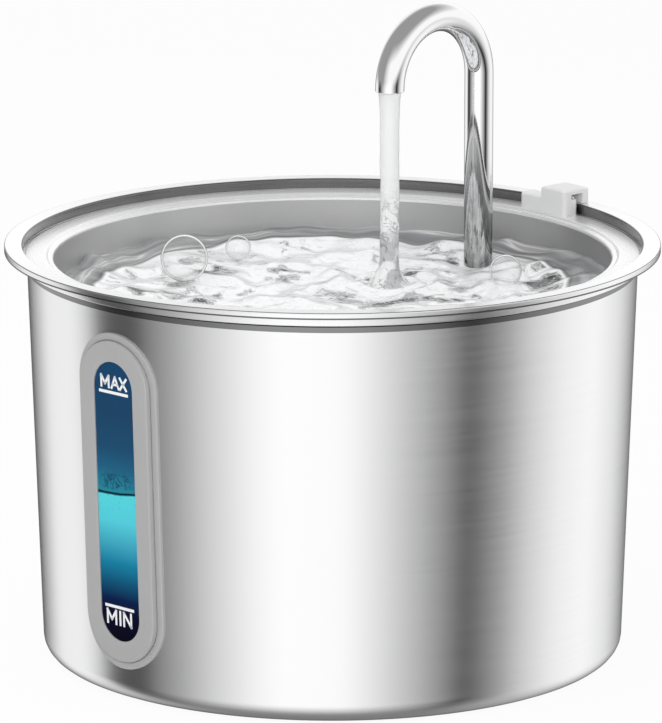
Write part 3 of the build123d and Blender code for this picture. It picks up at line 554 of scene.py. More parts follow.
def makeBucket(s):
    # the outer face's profile from the middle of the base to the lip, thickened inwards and turned
    top = rimTop
    ledge = top - s["ledgeDrop"]
    under = s["footProud"] + s["dishRise"]
    lipRadius = rimRadius - s["sheet"]
    bases = {"collar": lambda height: s["collarRadius"], "lip": lambda height: lipRadius, "wall": wallRadius}
    path = roundedPath(
        [(0, under), (s["dishRadius"], under), (s["dishRadius"] + s["dishSlope"], s["footProud"]),
         (s["wallBaseRadius"], s["footProud"]), (s["wallTopRadius"], ledge), (s["collarRadius"], ledge),
         (s["collarRadius"], top - s["sheet"]), (lipRadius, top - s["sheet"]), (lipRadius, top - s["lipDrop"])],
        s["bends"])
    path = withPoints(path, [(bases[base](top + place), top + place) for base, place in s["bandEdges"]])
    section = sheetSection(path, s["sheet"])
    # the lip's outer corner is squarer than a quarter circle: each share of the sheet is raised to a power
    middle = np.array([lipRadius, top - s["sheet"]])
    corner = (section > middle).all(1)
    section[corner] = middle + s["sheet"] * np.minimum((section[corner] - middle) / s["sheet"], 1) ** s["squareness"]
    piece = addPiece("bucketShell", *turnedSolid(section * mm), bucketSteel)
    low, high = s["slotCut"]

    def throughWall(across, along, end):
        return onWall(across, along, low + (high - low) * end + 0 * across)

    cutAway(piece, [prism(slotOutline(windowSizes["slotWidth"], windowSizes["slotLength"]), throughWall)])
    # the faces of each band take its darker steel: painted shade
    for material, base, (inner, outer), (lowest, highest) in s["bands"]:
        def chosen(radius, height):
            out, up = radius - bases[base](height), height - top
            return (out > inner) & (out < outer) & (up > lowest) & (up < highest)

        paintFaces(piece, material, chosen)
    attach(piece, "bucket")
    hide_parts("bucket")


makeBucket(bucketSizes)
print("bucket made")


traySizes = {
    "sheet": 0.6, "flangeDrop": 3.4, "outerRadius": 98.7, "hemDepth": 1.4, "wellEdgeRadius": 89.4,
    "wellFloorRadius": 87.4, "wellFloorDrop": 28.0, "stepDrop": 0.8, "stepRun": 0.7, "landWidth": 1.6,
    # bend radii from the hem in to the well's edge, and of the well's lower corner
    "bends": (0.7, 0.7, 0.45, 0.7), "cornerRadius": 6.0,
    "drainRadius": 1.8, "drainPitch": 8.0, "drainRings": 3, "drainFirst": 6, "grommetHole": 7.75,
    "notchTurn": -4.4, "notchRadius": 94.9, "notchWidth": 8.8, "notchDepth": 3.8,
    # how far the cuts reach under and over the sheet, and where the well's darker steel, painted shade, starts
    "floorCut": (-3, 1), "flangeCut": (-2, 2), "wellFrom": (0.4, 0.5),
}


def makeTray(s):
    # the upper face's profile from the hem to the middle of the well's floor, thickened downwards and turned
    flange = rimTop - s["flangeDrop"]
    land = flange - s["stepDrop"]
    floor = rimTop - s["wellFloorDrop"]
    landRadius = s["wellEdgeRadius"] + s["landWidth"]
    path = roundedPath(
        [(s["outerRadius"], flange - s["hemDepth"]), (s["outerRadius"], flange), (landRadius + s["stepRun"], flange),
         (landRadius, land), (s["wellEdgeRadius"], land), (s["wellFloorRadius"], floor), (0, floor)],
        [*s["bends"], s["cornerRadius"]])
    section = np.roll(sheetSection(path, s["sheet"]), len(path), axis=0) * mm
    piece = addPiece("trayShell", *turnedSolid(section), traySteel)

    # the drain holes stand in rings round the middle one
    through = upright(*(floor + reach for reach in s["floorCut"]))
    cutters = [prism(circle(s["drainRadius"]), through), prism(circle(s["grommetHole"], 0, spoutRear, 64), through)]
    for number in range(1, s["drainRings"] + 1):
        radius, count = number * s["drainPitch"], number * s["drainFirst"]
        for turn in np.arange(count) * math.tau / count:
            hole = circle(s["drainRadius"], radius * math.cos(turn), radius * math.sin(turn))
            cutters.append(prism(hole, through))
    corners = np.array([(-1, -1), (1, -1), (1, 1), (-1, 1)]) * (s["notchWidth"] / 2, s["notchDepth"] / 2)
    c, t = math.cos(math.radians(s["notchTurn"])), math.sin(math.radians(s["notchTurn"]))
    corners = (corners + (0, s["notchRadius"])) @ np.array([(c, t), (-t, c)])
    cutters.append(prism(corners, upright(*(flange + reach for reach in s["flangeCut"]))))
    cutAway(piece, cutters)
    inside, under = s["wellFrom"]
    # the well's inside takes the darker steel: painted shade
    paintFaces(piece, wellShadeSteel,
               lambda radius, height: (radius < s["wellEdgeRadius"] - inside) & (height < land - under))
    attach(piece, "tray")
    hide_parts("tray")


makeTray(traySizes)
print("tray made")


footShade = {
    "from": 152.0, "to": 128.0, "color": (0.9, 0.9, 0.904), "tone": 0.22, "streaks": 420.0, "stretch": 0.16,
    "detail": 2.0, "warp": 0.6, "least": 0.42, "over": 1 / 3, "depth": 0.45,
}


def makeSpoutSteel(s):
    # a mirror polish that darkens and streaks down the rear leg, towards the water
    material, shader, tree = newMaterial("spoutSteel", Metallic=1.0, Roughness=0.04)
    x, y, z = objectPlace(tree)[1:]
    low = spread(tree, z, s["from"] * mm, (s["to"] - s["from"]) * mm)
    stretched = combined(tree, x, y, product(tree, z, s["stretch"]))
    streak = noiseNode(tree, stretched, s["streaks"], s["detail"], s["warp"])
    tone = mathNode(tree, "MULTIPLY_ADD", spread(tree, streak, s["least"], s["over"]), s["depth"], s["tone"])
    link(tree, mixColors(tree, low, s["color"], tone), shader.inputs["Base Color"])
    return material


spoutSizes = {
    "radius": 4.7, "wall": 0.6, "reach": 42.0, "bendTop": 66.55, "outletDrop": 21.5, "edge": 0.15,
    "legRows": 12, "bendRows": 65, "turns": 48,
    # how far a row of points stands from each end of the half circle
    "legSupport": 0.5, "outletSupport": 0.25,
}


def makeSpout(s):
    # a tube: circles carried up the rear leg, round the half circle and down to the outlet, and back as the bore
    bend = s["reach"] / 2
    spring = rimTop + s["bendTop"] - bend
    outlet = rimTop + s["bendTop"] - s["outletDrop"]
    turn = np.linspace(0, math.pi, s["bendRows"])
    y = np.concatenate([[spoutRear] * s["legRows"], spoutRear - bend + bend * np.cos(turn),
                        [spoutRear - s["reach"]] * 2])
    z = np.concatenate([np.linspace(spoutFoot, spring - s["legSupport"], s["legRows"]),
                        spring + bend * np.sin(turn), [spring - s["outletSupport"], outlet]])
    heading = np.stack([np.gradient(y), np.gradient(z)], -1)
    heading /= np.linalg.norm(heading, axis=1)[:, None]
    around = np.arange(s["turns"]) * math.tau / s["turns"]
    # outer skin from foot to outlet, an eased end, then the bore back to the foot
    e, count, bore = s["edge"], len(y), s["radius"] - s["wall"]
    index = np.concatenate([np.arange(count), [count - 1] * 2, np.arange(count)[::-1]])
    radius = np.concatenate([np.full(count, s["radius"]), [s["radius"] - e, bore + e], np.full(count, bore)])[:, None]
    back = np.zeros(len(index))
    back[[count - 1, count + 2]] = e
    middle = np.stack([y, z], -1)[index] - heading[index] * back[:, None]
    side = np.stack([-heading[index, 1], heading[index, 0]], -1)
    points = np.stack([radius * np.cos(around),
                       middle[:, :1] + side[:, :1] * radius * np.sin(around),
                       middle[:, 1:] + side[:, 1:] * radius * np.sin(around)], -1)
    faces = gridQuads(len(index), len(around), closeRows=True)
    piece = addPiece("spoutTube", points.reshape(-1, 3) * mm, faces, spoutSteel)
    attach(piece, "spout")
    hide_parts("spout_tube")


spoutSteel = makeSpoutSteel(footShade)
makeSpout(spoutSizes)
print("spout made")


def slotLayer(width, length, base, proud):
    # a slot's outline laid this far outside the round wall, or this far over the window's flat plane
    across, along = slotOutline(width, length).T
    return onWall(across, along, wallBack(across, along, proud) if base == "wall" else proud + 0 * across)


def makeBezel(s):
    # rings of the outline from the flange's foot to the pane's side, each with its own width, length and height
    quarter = [(1 - math.cos(turn), 1 - math.sin(turn)) for turn in np.linspace(0, math.pi / 2, 6)]
    flange = s["flangeThickness"]
    rings = [(s["flangeWidth"], s["flangeLength"], "wall", s["wallGap"])]
    rings += [(s["flangeWidth"] - 2 * s["flangeEdge"] * inward, s["flangeLength"] - 2 * s["flangeEdge"] * inward,
               "wall", flange - s["flangeEdge"] * down) for inward, down in quarter]
    for grow, down in s["grooveEdge"]:
        grow = 2 * (s["grooveWidth"] + grow)
        rings.append((s["faceWidth"] + grow, s["faceLength"] + grow, "wall", flange - down))
    rings.append((s["faceWidth"], s["faceLength"], "wall", flange - s["grooveDepth"]))
    rings += [(s["faceWidth"] - 2 * s["faceEdge"] * inward, s["faceLength"] - 2 * s["faceEdge"] * inward,
               "flat", s["faceProud"] - s["faceEdge"] * down) for inward, down in quarter]
    rings += [(s["paneWidth"] + 2 * s["paneEdge"] * outward, s["paneLength"] + 2 * s["paneEdge"] * outward,
               "flat", s["faceProud"] - s["paneEdge"] * down) for down, outward in quarter]
    rings.append((s["paneWidth"], s["paneLength"], "wall", s["paneGap"]))
    points = np.array([slotLayer(*ring) for ring in rings])
    faces = gridQuads(*points.shape[:2], closeRows=True)
    piece = addPiece("windowBezel", points.reshape(-1, 3), faces, bezelPlastic, sharpAngle=50)
    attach(piece, "bucket")
    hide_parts("window_bezel")


def makePane(s, material):
    # a flat-fronted clear slab whose front edge is eased
    rings = [(s["paneGap"], "wall", s["paneGap"])]
    rings += [(inset, "flat", s["paneProud"] - down) for inset, down in s["paneBevel"]]
    points = np.array([slotLayer(s["paneWidth"] - inset, s["paneLength"] - inset, base, proud)
                       for inset, base, proud in rings])
    count = points.shape[1]
    faces = gridQuads(3, count).tolist() + [list(range(2 * count, 3 * count)), list(range(count))[::-1]]
    piece = addPiece("windowPane", points.reshape(-1, 3), faces, material, smooth=False)
    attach(piece, "bucket")
    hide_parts("window_pane")


paneLook = {
    "waterline": 69.05 * mm, "tilt": 0.75 * mm, "sag": 0.3 * mm, "ripple": 0.7 * mm, "rippleNoise": 300.0,
    "lineHalf": 0.5 * mm, "lineEdge": 1.4, "lineColor": (0.0, 0.02, 0.04),
    # small marks over the line: their bent lines, the heights in millimetres where they fade in and out, colour
    "marks": (300.0, 1.0, 1.4, 0.5, 0.09), "marksFrom": 1.0, "marksTo": 7.5, "marksFade": 2.0,
    "marksColor": (0.004, 0.05, 0.10),
    # specks under it: how many to the metre, their radius, depth in millimetres, strength and colour
    "specks": 620.0, "speckRadius": 0.3, "specksDepth": 8.0, "specksStrength": 0.55,
    "specksColor": (0.01, 0.20, 0.28),
    # shares of the pane's height, and the colour there: the water's blue, brightest at the waterline as painted light
    # and deepening into painted shade below and above it
    "water": ((0.0, (0.0, 0.0, 0.006)), (0.10, (0.001, 0.002, 0.024)), (0.15, (0.001, 0.013, 0.075)),
              (0.21, (0.002, 0.09, 0.19)), (0.28, (0.005, 0.22, 0.38)), (0.36, (0.055, 0.43, 0.58)),
              (0.43, (0.09, 0.64, 0.74)), (0.55, (0.10, 0.72, 0.78))),
    "air": ((0.50, (0.022, 0.31, 0.40)), (0.56, (0.018, 0.22, 0.32)), (0.62, (0.014, 0.12, 0.23)),
            (0.69, (0.012, 0.075, 0.165)), (0.82, (0.011, 0.060, 0.135)), (1.0, (0.008, 0.060, 0.155))),
}
# each mark: its letters as (letter, left, width), their foot and height, and its bar's middle across and along
levelMarks = (
    ("max", (("M", -5.7, 4.1), ("A", -1.15, 3.9), ("X", 2.6, 3.5)), 36.6, 4.3, (0.0, 35.4)),
    ("min", (("M", -6.3, 4.6), ("I", -0.65, 0.0), ("N", 1.0, 4.0)), -40.4, 5.0, (-0.4, -34.4)),
)
# each letter's strokes, in shares of its width and height
letterStrokes = {
    "M": (((0, 0), (0, 1)), ((0, 1), (0.5, 0.3)), ((0.5, 0.3), (1, 1)), ((1, 1), (1, 0))),
    "A": (((0, 0), (0.5, 1)), ((0.5, 1), (1, 0)), ((0.2, 0.32), (0.8, 0.32))),
    "X": (((0, 0), (1, 1)), ((0, 1), (1, 0))),
    "I": (((0, 0), (0, 1)),),
    "N": (((0, 0), (0, 1)), ((0, 1), (1, 0)), ((1, 0), (1, 1))),
}
markSizes = {"stroke": 0.8, "thickness": 0.06, "barWidth": 12.9, "barHeight": 0.95}


def makePaneMaterial(look):
    # blue that deepens into painted shade away from a painted bright band at a waterline; the line tilts, sags
    # between its ends and ripples
    material, shader, tree = newMaterial("levelWindow", Roughness=0.16, Coat_Weight=0.2, Coat_Roughness=0.03,
                                         Specular_IOR_Level=0.35)
    coords, x, _, z = objectPlace(tree)
    low = (windowSizes["height"] - windowSizes["paneLength"] / 2) * mm
    share = spread(tree, z, low, windowSizes["paneLength"] * mm)
    across = mathNode(tree, "DIVIDE", x, windowSizes["paneWidth"] / 2 * mm)
    squared = product(tree, across, across)
    sag = product(tree, mathNode(tree, "SUBTRACT", squared, 1.0), look["sag"])
    ripple = noiseNode(tree, coords, look["rippleNoise"], 1.0)
    ripple = product(tree, mathNode(tree, "SUBTRACT", ripple, 0.5), look["ripple"])
    level = mathNode(tree, "MULTIPLY_ADD", across, look["tilt"], look["waterline"])
    line = mathNode(tree, "ADD", mathNode(tree, "ADD", sag, ripple), level)
    color = mixColors(tree, mathNode(tree, "GREATER_THAN", z, line),
                      rampNode(tree, look["water"], share), rampNode(tree, look["air"], share))
    # small dark marks stand above the line, and fine specks under it
    above = mathNode(tree, "DIVIDE", mathNode(tree, "SUBTRACT", z, line), mm)
    fadeIn = spread(tree, above, look["marksFrom"], 1.0)
    fadeOut = spread(tree, above, look["marksTo"], -look["marksFade"])
    middle = mathNode(tree, "SUBTRACT", 1.0, squared, clamp=True)
    marks = product(tree, placeLines(material, coords, *look["marks"])[1], product(tree, fadeIn, fadeOut), middle)
    color = mixColors(tree, marks, color, look["marksColor"])
    specks = tree.nodes.new("ShaderNodeTexVoronoi")
    specks.inputs["Scale"].default_value = look["specks"]
    link(tree, coords, specks.inputs["Vector"])
    dots = lineAt(tree, specks.outputs["Distance"], 0.0, look["speckRadius"])
    under = product(tree, mathNode(tree, "LESS_THAN", above, 0.0),
                    mathNode(tree, "ADD", 1.0, mathNode(tree, "DIVIDE", above, look["specksDepth"]), clamp=True))
    color = mixColors(tree, product(tree, dots, under, look["specksStrength"]), color, look["specksColor"])
    away = mathNode(tree, "ABSOLUTE", mathNode(tree, "SUBTRACT", z, line))
    dark = mathNode(tree, "SUBTRACT", look["lineEdge"], mathNode(tree, "DIVIDE", away, look["lineHalf"]), clamp=True)
    link(tree, mixColors(tree, dark, color, look["lineColor"]), shader.inputs["Base Color"])
    return material


def strokeOutline(start, end, width):
    # a straight stroke's four corners, counter-clockwise, its ends carried on by half its width
    start, end = np.array(start, float), np.array(end, float)
    along = (end - start) / np.linalg.norm(end - start) * width / 2
    side = np.array([-along[1], along[0]])
    return np.array([start - along - side, end + along - side, end + along + side, start - along + side])


def makeMark(name, letters, foot, height, bar, s):
    # plain letters of straight strokes, and a thin bar, laid on the pane's front
    proud = windowSizes["paneProud"]

    def onPane(x, y, end):
        return onWall(x, y, proud + s["thickness"] * end + 0 * x)

    inset = s["stroke"] / 2
    strokes = []
    for letter, left, width in letters:
        size = np.array([max(width - s["stroke"], 0), height - s["stroke"]])
        base = np.array([left + inset, foot + inset])
        strokes += [prism(strokeOutline(base + np.array(a) * size, base + np.array(b) * size, s["stroke"]), onPane)
                    for a, b in letterStrokes[letter]]
    lettering = addPiece(name + "Letters", *stacked(strokes), markPaint, smooth=False)
    outline = np.array([(-1, -1), (1, -1), (1, 1), (-1, 1)]) * (s["barWidth"] / 2, s["barHeight"] / 2) + bar
    line = addPiece(name + "Bar", *prism(outline, onPane), markPaint, smooth=False)
    for piece in (lettering, line):
        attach(piece, "bucket")


paneMaterial = makePaneMaterial(paneLook)
makeBezel(windowSizes)
makePane(windowSizes, paneMaterial)
for mark in levelMarks:
    makeMark(*mark, markSizes)
print("window made")


poolSizes = {
    "level": 116.0, "dish": 4.2, "rightSwell": 2.8, "swellTurn": 44.0, "swellPower": 4,
    "legDip": 2.4, "legSpread": 160.0,
    "waves": 60, "waveHeight": 0.16, "shortest": 11.0, "longest": 46.0, "longPower": 0.75, "crest": 0.35,
    "crestPower": 1.5, "seed": 11,
    # how far the waves are bent aside, and for each way the two lengths and the start of the bends
    "pull": 2.2, "bends": ((13.0, 17.0, 1.0), (15.0, 12.0, 2.0)),
    # round the stream's foot: where the waves grow from, and where the splash rings do
    "calmFrom": 5, "calmOver": 8, "calmLeast": 0.15, "splashFrom": 4, "splashOver": 5,
    "splashRings": 0.5, "ringFrom": 9.0, "ringPitch": 7.5, "ringFade": 13.0,
    "rings": 150, "ringsPower": 0.85, "turns": 384, "sideRows": (0.75, 0.5, 0.3, 0.16, 0.08, 0.03, 0.0),
    # how far the water's side reaches into the steel, and the share of it in the well's rounded corner
    "sink": 0.15, "cornerRows": 0.2, "cornerSink": 0.3,
}
streamSizes = {
    "radius": 3.1, "mouth": 3.95, "neck": 3.5, "rise": 0.8, "rows": 230, "columns": 72,
    "footRadius": 6.9, "footHeight": 9.0, "footSink": 1.2, "flare": 2.4, "lobes": ((5, 0.10, 0.7), (9, 0.06, 0.0)),
    "sway": 0.25, "swayLength": 7.0,
    # the lumps: how many, how many of their waves go round, their rates down, their shares and their starts
    "lumps": 26, "lumpsAround": 5, "lumpRates": (0.25, 1.6), "lumpShares": (0.3, 1.0), "lumpStarts": (0, 6.3),
    "lumpFade": 1.2, "lumpHeight": 0.075, "lumpLeast": 0.12, "lumpPower": 1.3, "seed": 3,
}
# name, middle and radius
bubbleSizes = (
    ("bubbleLarge", -47.3, -20.0, 124.9, 7.7), ("bubbleSmall", -55.8, 13.1, 121.8, 4.2),
    ("bubbleBySpout", 33.4, 45.5, 122.8, 5.25),
)


def wallInsideRadius(height):
    # the inside of the tray's well at a height, its rounded lower corner included
    s = traySizes
    floor = rimTop - s["wellFloorDrop"]
    lean = (s["wellEdgeRadius"] - s["wellFloorRadius"]) / (s["wellFloorDrop"] - s["flangeDrop"] - s["stepDrop"])
    up = np.maximum(height - floor, 0)
    straight = s["wellFloorRadius"] + lean * up
    rest = np.clip(s["cornerRadius"] - up, 0, s["cornerRadius"])
    return straight - (s["cornerRadius"] - np.sqrt(s["cornerRadius"] ** 2 - rest ** 2))


def poolHeight(x, y, s):
    # the level, dished and swollen to one side, plus plane waves with crests sharper than their troughs, plus
    # rings round the stream's foot, less a dip round the spout's leg
    draw = np.random.default_rng(s["seed"])
    facing = draw.uniform(0, math.tau, s["waves"])
    length = s["shortest"] * (s["longest"] / s["shortest"]) ** draw.uniform(0, 1, s["waves"])
    phase = draw.uniform(0, math.tau, s["waves"])
    (a, b, startX), (c, d, startY) = s["bends"]
    pulledX = x + s["pull"] * np.sin(x / a + startX) * np.cos(y / b)
    pulledY = y + s["pull"] * np.cos(x / c) * np.sin(y / d + startY)
    along = pulledX[:, None] * np.cos(facing) + pulledY[:, None] * np.sin(facing)
    wave = np.sin(along * math.tau / length + phase) * (length / s["longest"]) ** s["longPower"]
    total = wave.sum(1) * s["waveHeight"]
    total = total + s["crest"] * np.maximum(total, 0) ** s["crestPower"]
    wall = wallInsideRadius(s["level"])
    swellTurn = math.radians(s["swellTurn"])
    right = (x * math.cos(swellTurn) + y * math.sin(swellTurn)) / wall
    spot = np.hypot(x, y - (spoutRear - spoutSizes["reach"]))
    ring = np.cos((spot - s["ringFrom"]) * math.tau / s["ringPitch"])
    ring = s["splashRings"] * ring * np.exp(-np.maximum(spot - s["ringFrom"], 0) / s["ringFade"])
    calm = np.clip((spot - s["calmFrom"]) / s["calmOver"], s["calmLeast"], 1)
    splash = ring * np.clip((spot - s["splashFrom"]) / s["splashOver"], 0, 1)
    legDip = s["legDip"] * np.exp(-(x ** 2 + (y - spoutRear) ** 2) / s["legSpread"])
    swell = s["rightSwell"] * np.clip(right, 0, 1) ** s["swellPower"]
    return s["level"] + s["dish"] * (np.hypot(x, y) / wall) ** 2 + swell + total * calm + splash - legDip


def makePool(s, material):
    # rings of the surface from the middle to the wall, then down the wall, and a flat underside
    turn = np.arange(s["turns"]) * math.tau / s["turns"]
    share = np.linspace(0, 1, s["rings"] + 1)[1:] ** s["ringsPower"]
    edge = wallInsideRadius(s["level"] + s["dish"]) + s["sink"]
    radius = share[:, None] * edge * np.ones(s["turns"])
    x, y = radius * np.cos(turn), radius * np.sin(turn)
    z = poolHeight(x.ravel(), y.ravel(), s).reshape(x.shape)
    # the last ring moves out to the leaning wall at its own height
    edge = wallInsideRadius(z[-1]) + s["sink"]
    x[-1], y[-1] = edge * np.cos(turn), edge * np.sin(turn)
    floor = rimTop - traySizes["wellFloorDrop"]
    for down in s["sideRows"]:
        height = floor + (z[s["rings"] - 1] - floor) * down - (s["sink"] if down == 0 else 0)
        side = wallInsideRadius(height) + s["sink"] * (1 if down > s["cornerRows"] else s["cornerSink"])
        x = np.vstack([x, side * np.cos(turn)])
        y = np.vstack([y, side * np.sin(turn)])
        z = np.vstack([z, height])
    points = np.stack([x, y, z], -1).reshape(-1, 3)
    last = len(points)
    points = np.vstack([points, [[0, 0, poolHeight(np.zeros(1), np.zeros(1), s)[0]], [0, 0, floor - s["sink"]]]])
    faces = gridQuads(len(x), s["turns"]).tolist() + ringFans(last, last + 1, last - s["turns"], s["turns"])
    piece = addPiece("pool", points * mm, [face[::-1] for face in faces], material, sharpAngle=80)
    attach(piece, "tray")


def makeStream(s, material):
    # a falling column that necks in under the outlet, breaks up in lumps as it falls and flares into the pool
    top = rimTop + spoutSizes["bendTop"] - spoutSizes["outletDrop"] + s["rise"]
    middle = spoutRear - spoutSizes["reach"]
    foot = poolHeight(np.array([0.0]), np.array([middle]), poolSizes)[0] - s["footSink"]
    z = np.linspace(foot, top, s["rows"])[:, None]
    turn = np.arange(s["columns"]) * math.tau / s["columns"]
    fallen = (top - z) / (top - foot)
    draw = np.random.default_rng(s["seed"])
    lumps = np.zeros((s["rows"], s["columns"]))
    for _ in range(s["lumps"]):
        around = draw.integers(0, s["lumpsAround"])
        rate = draw.uniform(*s["lumpRates"])
        share = draw.uniform(*s["lumpShares"])
        wave = np.cos(around * turn + z * rate + draw.uniform(*s["lumpStarts"]))
        lumps += share * wave / (1 + s["lumpFade"] * rate)
    body = s["radius"] + (s["mouth"] - s["radius"]) * np.exp(-(top - z) / s["neck"])
    above = np.clip((z - foot - s["footSink"]) / s["footHeight"], 0, 1)
    lobes = 1 + sum(height * np.cos(count * turn + start) for count, height, start in s["lobes"])
    flare = (s["footRadius"] - s["radius"]) * (1 - above) ** s["flare"] * lobes
    radius = body + flare + s["lumpHeight"] * lumps * (s["lumpLeast"] + fallen ** s["lumpPower"])
    sway = s["sway"] * fallen * np.sin(z / s["swayLength"])
    x, y = sway + radius * np.cos(turn), middle + radius * np.sin(turn)
    points = np.stack([x, y, z + 0 * turn], -1).reshape(-1, 3)
    last = len(points)
    points = np.vstack([points, [[0, middle, foot], [0, middle, top]]])
    faces = gridQuads(s["rows"], s["columns"]).tolist()
    faces += ringFans(last, last + 1, last - s["columns"], s["columns"])
    piece = addPiece("stream", points * mm, faces, material, sharpAngle=80)
    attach(piece, "spout")


def makeBubble(name, x, y, z, radius, material):
    # a ball: a half circle turned round its upright line
    turn = np.linspace(-math.pi / 2, math.pi / 2, 40)
    section = np.stack([radius * np.cos(turn), z + radius * np.sin(turn)], -1)
    points, faces = turnedSolid(section, 64, (x, y))
    piece = addPiece(name, points * mm, faces, material)
    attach(piece, "tray")


poolLook = {
    # the pattern's noise: scale, detail and warp, how far it is spread, and two bends of its place
    "swirl": (85.0, 2.0, 1.4), "swirlSpread": 1.5, "bends": ((45.0, 0.014), (190.0, 0.005)),
    # hollows in the churned water, darkened with painted shade: middle, half width and half depth in millimetres, and
    # how dark they go
    "hollowTurn": 44.2, "hollowEdge": 1.25,
    "shadedHollows": (
        (18, 10, 19.0, 9.5, 0.56), (-2, 5, 7.0, 10.0, 0.38), (-43, -47, 4.7, 5.2, 0.70), (-27, -35, 12.0, 5.5, 0.30),
        (-31, 12, 7.8, 8.5, 0.35), (-49, -3, 5.5, 6.5, 0.46), (-62, 0, 6.4, 5.8, 0.43), (-11, 24, 3.6, 6.0, 0.43),
        (-3, 40, 4.4, 6.5, 0.54), (33, 23, 3.4, 4.4, 0.61), (-46, -24, 6.0, 4.6, 0.38), (-28, -12, 5.6, 3.2, 0.32),
        (43, 56, 7.6, 8.0, 0.57), (52, 48, 5.0, 5.0, 0.49), (-8, 66, 3.0, 5.0, 0.35), (-60, -28, 6.0, 6.0, 0.24),
        (-19, 65, 11.0, 15.0, 0.16), (30, 34, 9.0, 8.0, 0.16), (28, 74, 13.0, 13.0, 0.16),
    ),
    # greys along the lifted noise: white water, and darker greys of painted shade where the hollows lift it
    "tones": ((0.0, 0.80), (0.16, 0.90), (0.30, 0.97), (0.60, 0.97), (0.64, 0.78), (0.665, 0.97), (0.70, 0.80),
              (0.74, 0.52), (0.765, 0.30), (0.78, 0.80), (0.81, 0.55), (0.86, 0.32), (0.885, 0.16), (0.90, 0.62),
              (0.94, 0.34), (0.98, 0.12), (1.0, 0.03)),
    # fine lines of painted reflection, a grey one and a white painted highlight: scale, detail, warp, place and half
    # width of each, then its strength and colour
    "paintedRippleLines": (((230.0, 2.0, 1.2, 0.5, 0.03), 0.22, (0.35, 0.36, 0.37)), ((230.0, 2.0, 1.2, 0.58, 0.03), 0.6, 1.0)),
    # the clear water along the wall, painted as grey streaks of shade and reflection: where it starts, its wandering
    # edge, its streaks and their greys
    "moatFrom": 74.5 * mm, "moatOver": 1.8 * mm, "wander": 9.0 * mm, "wanderNoise": 30.0,
    "streaks": (1.6, 1.0, 0.3), "streakPitch": 150.0,
    "streakTones": ((0.0, 0.18), (0.40, (0.25, 0.255, 0.26)), (0.52, (0.34, 0.35, 0.355)), (0.60, 0.44), (0.64, 0.75),
                    (0.67, 0.42), (1.0, 0.38)),
    # the lines along its edge, a painted dark line and a painted highlight: place and half width in shares of its
    # start, strength and grey
    "moatLines": ((1.3, 0.5, 0.7, 0.08), (0.2, 0.6, 1.0, 1.0)), "relief": (0.3, 1.0 * mm), "rippleRelief": 0.25,
}
streamLook = {
    "color": (0.98, 0.985, 0.985), "from": 152.0 * mm, "over": 16.0 * mm, "relief": (0.5, 0.6 * mm),
    # grey blots and dark bent lines lower down: painted reflection
    "blots": (150.0, 1.0, 0.8), "blotsFrom": 0.5, "blotsOver": 1 / 9, "blotsStrength": 0.65,
    "blotsColor": (0.38, 0.39, 0.40),
    "lines": (260.0, 2.0, 1.2, 0.5, 0.03), "linesStrength": 0.7, "linesColor": (0.16, 0.17, 0.18),
}
# how solid the film is, and its grey, as it turns away from the eye: the grey paints a highlight and, outside it, a
# dark line
bubbleLook = {
    "alpha": ((0.0, 0.06), (0.45, 0.12), (0.58, 0.35), (0.66, 0.9)),
    "film": ((0.0, 0.8), (0.50, 0.45), (0.58, 0.5), (0.63, 0.98), (0.76, 0.98), (0.80, 0.2)),
}


